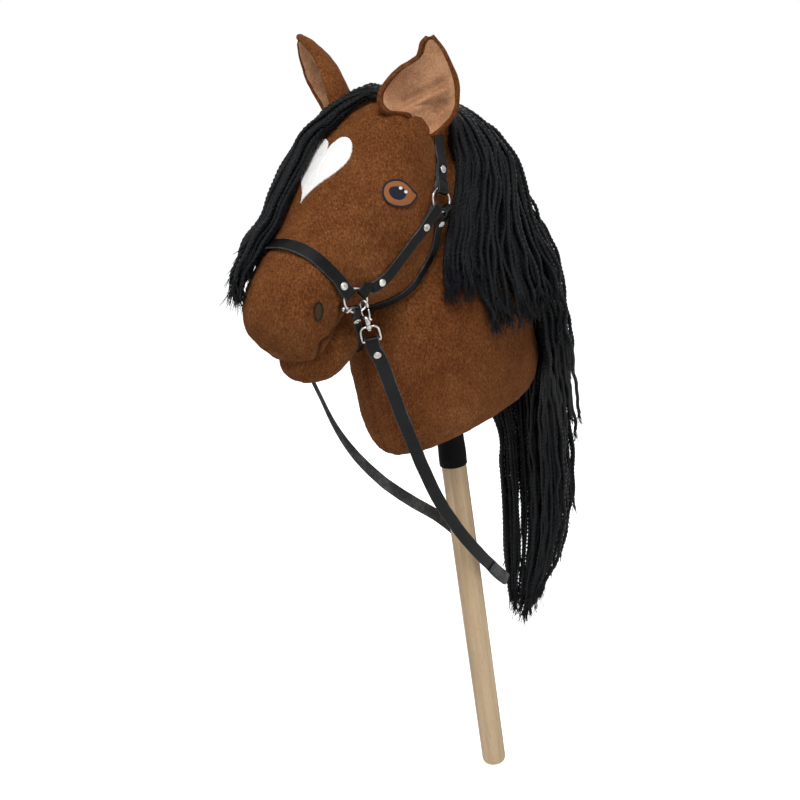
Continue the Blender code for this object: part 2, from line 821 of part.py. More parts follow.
def smooth_track(rows, count):
    """A track through rows of (middle, outward normal): at each place its middle, outward and side directions."""
    flat = [(*middle, *out) for middle, out in rows]
    track = [(Vector(row[:3]), Vector(row[3:])) for row in smooth_through(flat, count)]
    last = len(track) - 1
    found = []
    for i, (middle, out) in enumerate(track):
        ahead = (track[min(i + 1, last)][0] - track[max(i - 1, 0)][0]).normalized()
        side = ahead.cross(out).normalized()
        found.append((middle, side.cross(ahead).normalized(), side))
    return found


def turned_back(track):
    return [(middle, out, -side) for middle, out, side in reversed(track)]


def ribbon(name, track, width, thickness, finish):
    """A flat strap along a track."""
    rings = []
    for middle, out, side in track:
        side, out = side * (width / 2), out * (thickness / 2)
        rings.append([middle + side + out, middle - side + out, middle - side - out, middle + side - out])
    return mesh_object(name, *loft(rings), finish, sharp=math.radians(50))


def bridged(start, end):
    """Rows on the straight line between two rows, so that a free stretch of a strap doesn't bow."""
    count = int((end[0] - start[0]).length / SPAN_STEP)
    return [
        (start[0].lerp(end[0], k / (count + 1)), start[1].lerp(end[1], k / (count + 1)))
        for k in range(1, count + 1)
    ]


def lap_under(upper, lap, thickness, clear):
    """The folded-back end of a strap, which lies under the first part of its upper track."""
    found = []
    for middle, out, side in upper:
        if clear < (middle - upper[0][0]).length < lap:
            found.append((middle - out * (thickness + LAP_GAP), -out, side))
    return found[::-1]


def fold_round(bar, shift, aim, face, reach):
    """The track under a bar and round it, for a strap that leaves it on the aim, with its face outwards."""
    side = aim.cross(face)
    found = [(bar + shift + aim * (shift.length + reach) - face * reach, -face, side)]
    for turn in np.radians([-90, -54, -18, 18, 54]):
        out = face * math.sin(turn) - aim * math.cos(turn)
        found.append((bar + shift + out * reach, out, side))
    return found


def make_strap(name, width, ends, rays, forms):
    """A strap from ring to ring over the forms, with each end folded round its ring and back under itself.

    Each end is the ring's centre, its normal, the angle where the strap meets it, and the length of the lap.
    """
    near = []
    for centre, normal, angle, lap in ends:
        near.append((ring_place(centre, normal, math.radians(angle))[0], lap))
    body = laid(rays, width, STRAP_THICKNESS, near, forms)
    inside = RING_RADIUS - RING_WIRE / 2
    bow = inside - math.sqrt(inside**2 - (width / 2) ** 2)
    starts = []
    folds = []
    for (centre, normal, angle, _), (target, out) in zip(ends, (body[0], body[-1])):
        place, way = ring_place(centre, normal, math.radians(angle))
        tangent = normal.normalized().cross(way)
        aim = target - place
        aim = (aim - tangent * aim.dot(tangent)).normalized()
        face = aim.cross(tangent)
        face = face if face.dot(out) > 0 else -face
        tilt = abs(face.dot(way))
        shift = way * (-bow * (1 - tilt / 2))
        reach = RING_WIRE / 2 + LOOP_GAP + STRAP_THICKNESS / 2 + bow * tilt * (1 - tilt / 2)
        starts.append([(place + shift + face * reach, face), (place + shift + aim * 5 * MM + face * reach, face)])
        folds.append(fold_round(place, shift, aim, face, reach))
    body = bridged(starts[0][-1], body[0]) + body + bridged(body[-1], starts[1][-1])
    upper = smooth_track(starts[0] + body + starts[1][::-1], 2)
    clear = bow + 6.5 * MM
    first = lap_under(upper, near[0][1], STRAP_THICKNESS, clear) + folds[0]
    second = lap_under(turned_back(upper), near[1][1], STRAP_THICKNESS, clear) + folds[1]
    made = ribbon(name, first + upper + turned_back(second), width, STRAP_THICKNESS, leather)
    return made, upper


def rivet(name, track, distance, thickness, pieces):
    """A domed rivet at a distance along a track, whose shank passes through the lapped strap."""
    travelled = 0
    for (here, out, _), (there, _, _) in zip(track, track[1:]):
        step = (there - here).length
        if travelled + step > distance:
            break
        travelled += step
    place = here + (there - here) * ((distance - travelled) / step) + out * (thickness / 2)
    head = RIVET_HEAD / 2
    shank = RIVET_SHANK / 2
    depth = 2 * thickness + LAP_GAP + 0.2 * MM
    top = RIVET_SEAT + RIVET_DOME
    dome = [(head * math.sin(a), RIVET_SEAT + RIVET_DOME * math.cos(a)) for a in np.radians([35, 65])]
    profile = [(0, top)] + dome + [(head, RIVET_SEAT), (shank, RIVET_SEAT), (shank, -depth), (0, -depth)]
    turned(name, profile, 8, place, out, nickel)
    hole = rod_cutter(name + "_hole", place - out * depth / 2, out, shank + SEAT_GAP, 4 * depth, 8)
    for piece in pieces:
        cut(piece, hole)


def make_bridle():
    bit_right, cheek_right = mirrored(BIT_RING), mirrored(CHEEK_RING)
    bit_right_normal, cheek_right_normal = mirrored(BIT_RING_NORMAL), mirrored(CHEEK_RING_NORMAL)
    make_ring("bit_ring_left", BIT_RING, BIT_RING_NORMAL)
    make_ring("bit_ring_right", bit_right, bit_right_normal)
    make_ring("cheek_ring_left", CHEEK_RING, CHEEK_RING_NORMAL)
    make_ring("cheek_ring_right", cheek_right, cheek_right_normal)

    def both(centre, normal, angle, lap):
        return [(centre, normal, angle, lap), (mirrored(centre), mirrored(normal), angle, lap)]

    ends = both(BIT_RING, BIT_RING_NORMAL, NOSEBAND_ANGLE, NOSEBAND_LAP)
    rays = fan((0, -144.6, 551.7), (0, -0.473, 0.881), range(20, 161, 10))
    made, track = make_strap("noseband", STRAP_WIDTH, ends, rays, FORMS)
    rivet("rivet_noseband_left", track, NOSEBAND_RIVET, STRAP_THICKNESS, [made])
    rivet("rivet_noseband_right", track[::-1], NOSEBAND_RIVET, STRAP_THICKNESS, [made])

    ends = both(CHEEK_RING, CHEEK_RING_NORMAL, CROWN_ANGLE, CROWN_LAP)
    rays = fan((0, -38, 613), (0, 0.4, 0.917), range(18, 163, 9))
    made, track = make_strap("crown_strap", STRAP_WIDTH, ends, rays, FORMS)
    rivet("rivet_crown_left", track, CROWN_RIVET, STRAP_THICKNESS, [made])
    rivet("rivet_crown_right", track[::-1], CROWN_RIVET, STRAP_THICKNESS, [made])

    rows = [(-116, 553), (-107, 556), (-99, 561), (-90, 568), (-81, 576), (-72, 584), (-64, 591)]
    rays = side_rays(rows)
    for word, turn in (("left", Vector), ("right", mirrored)):
        ends = [
            (turn(BIT_RING), turn(BIT_RING_NORMAL), CHEEK_LOW_ANGLE, CHEEK_LOW_LAP),
            (turn(CHEEK_RING), turn(CHEEK_RING_NORMAL), CHEEK_HIGH_ANGLE, CHEEK_HIGH_LAP),
        ]
        own = [(turn(start), turn(out)) for start, out in rays]
        made, track = make_strap("cheek_strap_" + word, CHEEK_STRAP_WIDTH, ends, own, FORMS)
        rivet("rivet_cheek_low_" + word, track, CHEEK_LOW_RIVET, STRAP_THICKNESS, [made])
        rivet("rivet_cheek_high_" + word, track[::-1], CHEEK_HIGH_RIVET, STRAP_THICKNESS, [made])

    ends = both(CHEEK_RING, CHEEK_RING_NORMAL, THROAT_ANGLE, THROAT_LAP)
    down = side_rays([(-38, 590), (-40, 581), (-42, 572)])
    hub = Vector((0, -60, 570))
    under = [(hub * MM, (Vector(place) - hub).normalized()) for place in THROAT_PLACES]
    rays = down + under + mirrored_rays(down + under)[1:]
    made, track = make_strap("throat_strap", THROAT_STRAP_WIDTH, ends, rays, [HEAD])
    rivet("rivet_throat_left", track, THROAT_RIVET, STRAP_THICKNESS, [made])
    rivet("rivet_throat_right", track[::-1], THROAT_RIVET, STRAP_THICKNESS, [made])

    ends = both(BIT_RING, BIT_RING_NORMAL, CHIN_ANGLE, CHIN_LAP)
    under = fan((0, -113, 514), (0, 0, -1), range(30, 151, 12))
    made, track = make_strap("chin_strap", CHIN_STRAP_WIDTH, ends, under, FORMS)
    rivet("rivet_chin_left", track, CHIN_RIVET, STRAP_THICKNESS, [made])
    rivet("rivet_chin_right", track[::-1], CHIN_RIVET, STRAP_THICKNESS, [made])


# Bit


def make_bit():
    """A bar through the muzzle, with an eye round each bit ring."""
    place, _ = ring_place(BIT_RING, BIT_RING_NORMAL, math.radians(BIT_ANGLE))
    _, ahead = ring_place(BIT_RING, BIT_RING_NORMAL, math.radians(BIT_ANGLE + 90))
    facing = Vector((0, ahead.y, ahead.z)).normalized()
    end = place.x - BIT_EYE_RADIUS
    bpy.ops.mesh.primitive_cylinder_add(
        vertices=10, radius=BIT_BAR / 2, depth=2 * end, location=(0, place.y, place.z), rotation=(0, math.pi / 2, 0)
    )
    bar = bpy.context.object
    bar.name = "bit_mouthpiece"
    bar.data.shade_smooth()
    bar.data.set_sharp_from_angle(angle=math.radians(50))
    file_object(bar, nickel)
    for side in (1, -1):
        bpy.ops.mesh.primitive_torus_add(
            major_segments=12, minor_segments=6, major_radius=BIT_EYE_RADIUS, minor_radius=BIT_EYE_WIRE / 2
        )
        eye = bpy.context.object
        eye.name = "bit_eye_cutter_%d" % side
        eye.location = (side * place.x, place.y, place.z)
        eye.rotation_euler = facing.to_track_quat("Z", "Y").to_euler()
        file_object(eye, None, helper=True)
        cut(bar, eye, "UNION")


def bit_bore():
    place, _ = ring_place(BIT_RING, BIT_RING_NORMAL, math.radians(BIT_ANGLE))
    middle = (0, place.y, place.z)
    return rod_cutter("bit_bore", middle, (1, 0, 0), BIT_BAR / 2 + SEAT_GAP, 120 * MM, 12)


# Snap hooks and reins


def make_hook(side, word):
    """A trigger snap that hangs from the bit ring, with a swivel ring for the rein. Heights run up its post."""
    turn = Vector if side > 0 else mirrored
    wire_place, _ = ring_place(BIT_RING, BIT_RING_NORMAL, math.radians(SNAP_ANGLE))
    half = (SNAP_OPENING + SNAP_WIRE) / 2
    root = wire_place + SNAP_DROP * (SNAP_LENGTH - half - SNAP_SLACK)
    across = (SNAP_ACROSS - SNAP_DROP * SNAP_ACROSS.dot(SNAP_DROP)).normalized()

    def at(a, height, way=across):
        return turn(root + way * (a * MM) - SNAP_DROP * (height * MM))

    q = half / MM
    top = SNAP_LENGTH / MM - q
    thin = SNAP_WIRE / 2
    body = [(0, -9.4, 1.5), (0, -8.0, 1.7), (0, -7.9, 0.8), (0, -4.2, 0.8), (0, -4.1, 2.3), (0, -0.6, 2.5)]
    body += [(-1.0, 1.7, 2.2), (-q, 4.5, 1.15), (-q, top, 1.1)]
    for angle in (30, 60, 90, 120, 150, 180):
        a = math.radians(180 - angle)
        body.append((q * math.cos(a), top + q * math.sin(a), 1.1))
    body.append((q, top - 2.0, 0.9))
    points = [at(a, height) for a, height, _ in body]
    radii = [r * MM / thin for _, _, r in body]
    wire("snap_hook_" + word, points, thin, nickel, radii=radii)

    gate = [(5.0, -0.2, 1.0), (3.0, 1.5, 0.9), (q - 0.3, 4.2, 0.8), (q, top - 3.5, 0.8)]
    points = [at(a, height) for a, height, _ in gate]
    wire("snap_gate_" + word, points, thin, nickel, radii=[r * MM / thin for _, _, r in gate])

    broad = (SWIVEL_ACROSS - SNAP_DROP * SWIVEL_ACROSS.dot(SNAP_DROP)).normalized()
    loop = [(-1.8, -5.9), (-5.0, -6.2), (-7.4, -8.2), (-8.0, -11), (-8.0, -15.4), (-7.8, -17.6), (-7.0, -18.4)]
    loop += [(-a, height) for a, height in reversed(loop)]
    made = wire("snap_swivel_wire_" + word, [at(a, h, broad) for a, h in loop], SWIVEL_WIRE / 2, helper=True)
    collar = [(1.15, -4.45), (2.5, -4.45), (2.5, -7.55), (1.15, -7.55), (1.15, -4.45)]
    profile = [(r * MM, (h + 6) * MM) for r, h in collar]
    swivel = turned("snap_swivel_" + word, profile, 12, at(0, -6), turn(-SNAP_DROP), nickel)
    cut(swivel, made, "UNION")
    return at(0, -18.4), turn(broad)


def make_reins(ends):
    """One long strap from swivel to swivel, folded round each bar, and the overlap piece where its halves meet."""
    reach = SWIVEL_WIRE / 2 + LOOP_GAP + REIN_THICKNESS / 2
    rows = [(Vector(middle) * MM, Vector(out).normalized()) for middle, out in REIN_ROUTE]
    folds = []
    starts = []
    for (bar, broad), (middle, out) in zip(ends, (rows[0], rows[-1])):
        aim = middle - bar
        aim = (aim - broad * aim.dot(broad)).normalized()
        face = aim.cross(broad)
        face = face if face.dot(out) > 0 else -face
        starts.append([(bar + face * reach, face), (bar + aim * 6 * MM + face * reach, face)])
        folds.append(fold_round(bar, Vector(), aim, face, reach))
    upper = smooth_track(starts[0] + rows + starts[1][::-1], 2)
    clear = 5 * MM
    first = lap_under(upper, REIN_LAP, REIN_THICKNESS, clear) + folds[0]
    second = lap_under(turned_back(upper), REIN_LAP, REIN_THICKNESS, clear) + folds[1]
    made = ribbon("reins", first + upper + turned_back(second), REIN_WIDTH, REIN_THICKNESS, leather)
    rivet("rivet_rein_left", upper, REIN_RIVET, REIN_THICKNESS, [made])
    rivet("rivet_rein_right", upper[::-1], REIN_RIVET, REIN_THICKNESS, [made])
    lift = (REIN_THICKNESS + REIN_WRAP_THICKNESS) / 2 + SEAT_GAP
    pad = upper[(2 + REIN_WRAP_FROM) * 2 : (2 + REIN_WRAP_TO) * 2 + 1]
    pad = [(middle + out * lift, out, side) for middle, out, side in pad]
    ribbon("rein_overlap", pad, REIN_WIDTH - 1 * MM, REIN_WRAP_THICKNESS, grey_leather)


# Mane and forelock


def mane_depth(angle, height):
    """How thick the yarn lies at an angle round the neck and a height."""
    share = min(1, angle / MANE_FULL_AT)
    depth = MANE_FRONT_DEPTH + (MANE_BACK_DEPTH - MANE_FRONT_DEPTH) * share * share * (3 - 2 * share)
    rise = min(1, max(0, (MANE_LEVELS[0][0] * MM + 8 * MM - height) / (60 * MM)))
    return depth * (0.35 + 0.65 * math.sqrt(rise))


def mane_radii(angles):
    """The inner radius of the yarn at each level and angle: it drapes over the body, then hangs from the widest place."""
    found = []
    widest = np.zeros(len(angles))
    for height, front in MANE_LEVELS:
        centre = Vector((0, front, height)) * MM
        reach = [skin(centre, (math.cos(a), math.sin(a), 0)) for a in angles]
        widest = np.maximum(widest, np.array(reach) + MANE_GAP)
        found.append(widest)
    return found


def make_lock(name, side, first, last, end, tip):
    """A lock between two angles at the top and at its end. Angles start at the left of the neck, in degrees."""
    levels = [row for row in MANE_LEVELS if row[0] >= end]
    rings = []
    shares = np.linspace(0, 1, 6)
    spread = []
    for k, (height, front) in enumerate(levels):
        share = k / (len(levels) - 1)
        low = first[0] + (first[1] - first[0]) * share
        high = last[0] + (last[1] - last[0]) * share
        spread.append(np.radians(low + (high - low) * shares))
    radii = [mane_radii(angles)[k] for k, angles in enumerate(spread)]
    for k, (height, front) in enumerate(levels):
        centre = Vector((0, front, height)) * MM
        tapering = 1 if tip else min(1, 0.45 + (height - levels[-1][0]) / 40)
        inner = []
        outer = []
        for angle, radius in zip(spread[k], radii[k]):
            way = Vector((math.cos(angle), math.sin(angle), 0))
            depth = mane_depth(angle, height * MM) * tapering
            inner.append(centre + way * radius)
            outer.append(centre + way * (radius + depth))
        rings.append(inner + outer[::-1])
    if tip:
        for (x, y, z), half, depth in tip:
            front_side = []
            back_side = []
            for u in shares:
                bulge = 0.3 + 0.7 * math.sqrt(1 - (1 - u) ** 2)
                place = Vector((x + half * (1 - u), y, z)) * MM
                front_side.append(place - Vector((0, depth * bulge, 0)) * MM)
                back_side.append(place + Vector((0, depth * bulge, 0)) * MM)
            rings.append(front_side + back_side[::-1])
    if side < 0:
        rings = [[mirrored(place) for place in ring] for ring in rings]
    mesh_object(name, *loft(rings), yarn)


def make_mane():
    for side, word in ((1, "left"), (-1, "right")):
        make_lock("mane_%s_front" % word, side, (2, 2), (27, 25), 528, None)
        make_lock("mane_%s_middle" % word, side, (28, 26), (53, 58), 488, None)
        make_lock("mane_%s_back" % word, side, (54, 60), (89.8, 89.8), 415, TAIL_ROWS)


def make_forelock():
    rings = []
    rays = []
    for s, angle, half, depth in FORELOCK_ROWS:
        start = Vector(HEAD.origin + s * MM * HEAD.axis - 20 * MM * HEAD.up)
        angle = math.radians(angle)
        out = Vector((math.cos(angle), 0, 0)) + Vector(HEAD.up) * math.sin(angle)
        rays.append((start, out))
    middles = [start + out * skin(start, out) for start, out in rays]
    last = len(rays) - 1
    for i, ((start, out), (_, _, half, depth)) in enumerate(zip(rays, FORELOCK_ROWS)):
        side = (middles[min(i + 1, last)] - middles[max(i - 1, 0)]).cross(out).normalized()
        half, depth = half * MM, depth * MM
        reach = max(skin(start + side * (k * half), out) for k in (-1, -0.5, 0, 0.5, 1))
        centre = start + out * (reach + FORELOCK_GAP + depth)
        ring = []
        for a in np.arange(12) * math.pi / 6:
            ring.append(centre + side * (half * math.cos(a)) + out * (depth * math.sin(a)))
        rings.append(ring)
    mesh_object("forelock", *loft(rings), yarn)


clear_scene()
parts = new_collection("hobby_horse")
cutters = new_collection("cutters")
plush = material("saddle_brown_plush", (0.2, 0.085, 0.035), 0.95)
wadding = material("wadding", (0.85, 0.84, 0.8), 0.95)
felt = material("peach_felt", (0.52, 0.25, 0.14), 0.95)
white_felt = material("white_felt", (0.86, 0.86, 0.86), 0.9)
eye_thread = material("eye_thread", (0.5, 0.2, 0.08), 0.7)
dark_thread = material("dark_brown_thread", (0.05, 0.025, 0.015), 0.8)
beech = material("beech", (0.62, 0.44, 0.26), 0.55)
black_rubber = material("black_rubber", (0.012, 0.012, 0.014), 0.7)
leather = material("black_leather", (0.012, 0.014, 0.015), 0.4)
grey_leather = material("grey_leather", (0.1, 0.1, 0.1), 0.7)
nickel = material("nickel", (0.6, 0.58, 0.54), 0.3, 1.0)
yarn = material("black_yarn", (0.01, 0.01, 0.012), 0.9)

make_stick()
make_sleeve()
head_outer, neck_outer = make_soft_body(stick_bores() + [bit_bore()])
make_ears([head_outer, neck_outer])
make_appliques()
make_bridle()
make_bit()
make_reins([make_hook(1, "left"), make_hook(-1, "right")])
make_mane()
make_forelock()
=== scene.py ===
import math

import bpy
import numpy as np
from mathutils import Matrix, Vector


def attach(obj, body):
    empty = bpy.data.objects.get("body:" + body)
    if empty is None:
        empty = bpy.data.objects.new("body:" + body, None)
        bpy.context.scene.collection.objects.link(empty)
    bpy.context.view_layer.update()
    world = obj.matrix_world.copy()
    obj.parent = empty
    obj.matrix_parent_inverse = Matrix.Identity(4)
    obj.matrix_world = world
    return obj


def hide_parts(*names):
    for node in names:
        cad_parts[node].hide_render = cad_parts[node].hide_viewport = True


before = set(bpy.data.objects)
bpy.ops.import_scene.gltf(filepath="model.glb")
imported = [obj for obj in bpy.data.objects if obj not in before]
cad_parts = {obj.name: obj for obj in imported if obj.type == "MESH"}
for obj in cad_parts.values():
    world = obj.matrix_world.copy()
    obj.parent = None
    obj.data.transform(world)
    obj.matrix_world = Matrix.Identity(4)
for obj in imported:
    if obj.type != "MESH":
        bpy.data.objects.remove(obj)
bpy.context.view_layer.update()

mm = 0.001
chance = np.random.default_rng(41)
print("frame loaded:", len(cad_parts), "nodes")


# Small tools for arrays of points

def unit(v):  # each vector divided by its own length
    return v / np.maximum(np.linalg.norm(v, axis=-1, keepdims=True), 1e-12)


def mirrored(v):  # the same place on the other side of the middle plane
    return np.asarray(v, float) * (-1, 1, 1)


def onSide(word, v):  # a place or way of the left side, taken to the named side
    return mirrored(v) if word == "right" else v


def folded(places):  # places on the right brought over to the left
    return np.abs(places[..., :1]) * (1, 0, 0) + places * (0, 1, 1)


def through(rows, steps):  # Catmull-Rom curve through all the rows, with the same number of steps in each stretch
    rows = np.asarray(rows, float)
    ends = np.concatenate([2 * rows[:1] - rows[1:2], rows, 2 * rows[-1:] - rows[-2:-1]])
    t = (np.arange(steps) / steps).reshape((1, steps) + (1,) * (rows.ndim - 1))
    a, b, c, d = (ends[i:i + len(rows) - 1, None] for i in range(4))
    curve = 0.5 * (2 * b + (c - a) * t + (2 * a - 5 * b + 4 * c - d) * t**2 + (3 * b - a - 3 * c + d) * t**3)
    return np.concatenate([curve.reshape((-1,) + rows.shape[1:]), rows[-1:]])


def smoothStep(x, low, high):  # 0 below low, 1 above high, a smooth S between them
    t = np.clip((x - low) / (high - low), 0, 1)
    return t * t * (3 - 2 * t)


def waves(places, size, count, draw):  # gentle lumps: a scaled sum of plane sine waves with random ways and phases
    ways = unit(draw.normal(size=(count, 3))) * draw.uniform(0.6, 1.5, (count, 1)) * 2 * math.pi / size
    return np.sin(places @ ways.T + draw.uniform(0, 2 * math.pi, count)).sum(axis=-1) / math.sqrt(count)


def arcLength(path):  # distance travelled at each point of each path
    steps = np.linalg.norm(np.diff(path, axis=-2), axis=-1)
    return np.concatenate([np.zeros(steps.shape[:-1] + (1,)), np.cumsum(steps, axis=-1)], axis=-1)


# Meshes: points and face arrays go straight into the mesh

def placed(name, data):  # a new object of the data, in the scene
    made = bpy.data.objects.new(name, data)
    bpy.context.scene.collection.objects.link(made)
    return made


def newMesh(name, points, faceSets, finish, body, replaced=(), slot=None, groups=None, shade=None):
    points = np.asarray(points, float).reshape(-1, 3)
    corners = np.concatenate([f.ravel() for f in faceSets]).astype(np.int32)
    sizes = np.concatenate([np.full(len(f), f.shape[1]) for f in faceSets])
    mesh = bpy.data.meshes.new(name)
    mesh.vertices.add(len(points))
    mesh.vertices.foreach_set("co", points.astype(np.float32).ravel())
    mesh.loops.add(len(corners))
    mesh.loops.foreach_set("vertex_index", corners)
    mesh.polygons.add(len(sizes))
    mesh.polygons.foreach_set("loop_start", np.concatenate([[0], np.cumsum(sizes)[:-1]]).astype(np.int32))
    mesh.update(calc_edges=True)
    if groups is not None:
        mesh.polygons.foreach_set("material_index", np.asarray(groups, np.int32))
    if shade is not None:
        # painted shade: darkens the colour in seam grooves and ear creases, read by the materials
        layer = mesh.attributes.new("shade", "FLOAT", "POINT")
        layer.data.foreach_set("value", np.asarray(shade, np.float32).ravel())
    mesh.shade_smooth()
    for one in finish if isinstance(finish, (list, tuple)) else [finish]:
        mesh.materials.append(one)
    piece = placed(name, mesh)
    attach(piece, body)
    if replaced:
        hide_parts(*replaced)
    return piece


def gridFaces(rows, cols, wrap):  # four-sided faces of a grid whose points are numbered row by row
    index = np.arange(rows * cols).reshape(rows, cols)
    right = np.roll(index, -1, axis=1) if wrap else index[:, 1:]
    left = index if wrap else index[:, :-1]
    return np.stack([left[:-1], right[:-1], right[1:], left[1:]], axis=-1).reshape(-1, 4)


def tubeFaces(count, rows, cols):  # side faces and end fans of a number of equal tubes
    sides = gridFaces(rows, cols, True)
    ring = np.arange(cols)
    block = rows * cols + 2
    start = np.stack([np.roll(ring, -1), ring, np.full(cols, rows * cols)], axis=-1)
    last = (rows - 1) * cols
    end = np.stack([ring + last, np.roll(ring, -1) + last, np.full(cols, rows * cols + 1)], axis=-1)
    shift = (np.arange(count) * block)[:, None, None]
    return [(sides + shift).reshape(-1, 4), (np.concatenate([start, end]) + shift).reshape(-1, 3)]


def closedGrids(grids):  # each grid of (rows, cols) points gets a middle point at either end
    count, rows, cols = grids.shape[:3]
    points = np.concatenate(
        [grids.reshape(count, rows * cols, -1), grids[:, :1].mean(axis=2), grids[:, -1:].mean(axis=2)], axis=1
    )
    return points, tubeFaces(count, rows, cols)


def outwards(points, faces):  # turns the faces round if the closed surface holds a negative volume
    a, b, c, d = points.reshape(-1, 3)[faces[0]].transpose(1, 0, 2)
    volume = (np.cross(a, b) * c).sum() + (np.cross(a, c) * d).sum()
    return [f[:, ::-1] for f in faces] if volume < 0 else faces


def closedSurface(name, grid, finish, body, shade=None, **more):  # one grid wrapped round, with both ends filled
    points, faces = closedGrids(grid[None])
    if shade is not None:
        shade = np.concatenate([shade.ravel(), [shade[0].mean(), shade[-1].mean()]])
    return newMesh(name, points, outwards(points, faces), finish, body, shade=shade, **more)


def frames(paths):  # tangent and two cross directions of each path, carried along it without a twist
    tangent = unit(np.gradient(paths, axis=1))
    guess = np.where(np.abs(tangent[:, 0, 2:3]) < 0.9, [[0, 0, 1.0]], [[0, 1.0, 0]])
    normal = np.empty_like(tangent)
    now = guess
    for k in range(paths.shape[1]):
        now = unit(now - tangent[:, k] * (now * tangent[:, k]).sum(axis=-1, keepdims=True))
        normal[:, k] = now
    return tangent, normal, np.cross(tangent, normal)


def tubes(paths, radii, sides, lobe=0.0, pitch=None, spin=None):
    # a ring of radius r (1 + lobe cos 3a) round each path point, turned once in each pitch of length
    _, normal, other = frames(paths)
    angle = np.arange(sides) * 2 * math.pi / sides
    turn = 0.0 if pitch is None else arcLength(paths) * 2 * math.pi / pitch
    turn = turn + (0 if spin is None else spin[:, None])
    around = angle + np.broadcast_to(turn, paths.shape[:2])[..., None]
    size = np.broadcast_to(radii, paths.shape[:2])[..., None] * (1 + lobe * np.cos(3 * angle))
    return (
        paths[:, :, None]
        + normal[:, :, None] * (size * np.cos(around))[..., None]
        + other[:, :, None] * (size * np.sin(around))[..., None]
    )


def joinedPiece(name, batches, finish, body, **more):  # several batches of closed grids in one mesh
    points, quads, fans, first = [], [], [], 0
    for grids in batches:
        cloud, (sides, ends) = closedGrids(grids)
        points.append(cloud.reshape(-1, 3))
        quads.append(sides[:, ::-1] + first)
        fans.append(ends[:, ::-1] + first)
        first += len(points[-1])
    faces = [np.concatenate(quads), np.concatenate(fans)]
    return newMesh(name, np.concatenate(points), faces, finish, body, **more)


def tubePiece(name, path, radii, sides, finish, body, **more):
    return joinedPiece(name, [tubes(path[None], radii, sides)], finish, body, **more)


def lathe(name, profile, finish, body, segments, middle=(0, 0, 0), way=(0, 0, 1), **more):
    # each row (radius, height) of the profile becomes a ring about the axis
    profile = np.asarray(profile, float)
    way = unit(np.asarray(way, float))
    side = unit(np.cross(way, (0.3, 1, 0.2)))
    other = np.cross(way, side)
    angle = np.arange(segments) * 2 * math.pi / segments
    rim = np.outer(np.cos(angle), side) + np.outer(np.sin(angle), other)
    grid = np.asarray(middle) + profile[:, 0][:, None, None] * rim + (profile[:, 1][:, None] * way)[:, None]
    return closedSurface(name, grid, finish, body, **more)


# Materials: a wrapped socket takes part in plain arithmetic

class Wire:
    def __init__(self, kit, socket):
        self.kit, self.socket = kit, socket

    def calc(self, operation, other):
        return self.kit.add("ShaderNodeMath", {"operation": operation}, {0: self, 1: other})

    def __add__(self, other):
        return self.calc("ADD", other)

    def __mul__(self, other):
        return self.calc("MULTIPLY", other)


class Kit:  # the nodes of one tree
    def __init__(self, tree):
        self.tree = tree

    def add(self, kind, settings=None, values=None, output=0):
        node = self.tree.nodes.new(kind)
        for key, value in (settings or {}).items():
            if key == "stops":
                while len(node.color_ramp.elements) < len(value):
                    node.color_ramp.elements.new(0.5)
                for stop, (place, colour) in zip(node.color_ramp.elements, value):
                    stop.position = place
                    stop.color = (*colour, 1)
            else:
                setattr(node, key, value)
        for key, value in (values or {}).items():
            if isinstance(value, Wire):
                self.tree.links.new(value.socket, node.inputs[key])
            elif value is not None:
                node.inputs[key].default_value = value
        return Wire(self, node.outputs[output])

    def end(self, wire, node):  # the wire goes into the tree's last node
        self.tree.links.new(wire.socket, node.inputs[0])


class Finish(Kit):
    def __init__(self, name, **fixed):  # fixed: numbers and colours set straight on the shader's sockets
        self.made = bpy.data.materials.new(name)
        self.made.use_nodes = True
        super().__init__(self.made.node_tree)
        self.shader = self.tree.nodes["Principled BSDF"]
        for key, value in fixed.items():
            self.set(key.replace("_", " "), value)

    def set(self, key, value):
        if isinstance(value, Wire):
            self.tree.links.new(value.socket, self.shader.inputs[key])
        else:
            self.shader.inputs[key].default_value = (*value, 1) if isinstance(value, tuple) else value

    def place(self):
        return self.add("ShaderNodeTexCoord", output="Object")

    def shade(self):  # painted shade: 1 in the seams and folds of a piece, 0 elsewhere
        return self.add("ShaderNodeAttribute", {"attribute_name": "shade"}, output="Fac")

    def stretched(self, vector, scale, turn=(0, 0, 0)):
        return self.add("ShaderNodeMapping", values={"Vector": vector, "Scale": scale, "Rotation": turn})

    def noise(self, vector, scale, detail, rough, twist=0.0):
        return self.add("ShaderNodeTexNoise", values={
            "Vector": vector, "Scale": scale, "Detail": detail, "Roughness": rough, "Distortion": twist,
        })

    def cells(self, vector, scale):
        return self.add("ShaderNodeTexVoronoi", values={"Vector": vector, "Scale": scale})

    def mix(self, factor, a, b):
        a, b = [(*c, 1) if isinstance(c, tuple) else c for c in (a, b)]
        return self.add("ShaderNodeMix", {"data_type": "RGBA"}, {0: factor, 6: a, 7: b}, 2)

    def tint(self, value, low, high, dark, light):  # dark where the value is low, light where it is high
        return self.mix(self.between(value, low, high), dark, light)

    def ramp(self, value, stops):
        return self.add("ShaderNodeValToRGB", {"stops": stops}, {0: value})

    def between(self, value, low, high, start=0.0, end=1.0):  # from start to end as the value goes low to high
        return self.add("ShaderNodeMapRange", {"interpolation_type": "SMOOTHSTEP"}, {
            "Value": value, "From Min": low, "From Max": high, "To Min": start, "To Max": end,
        })

    def bump(self, height, distance, strength, under=None):
        return self.add("ShaderNodeBump", values={
            "Height": height, "Distance": distance, "Strength": strength, "Normal": under,
        })


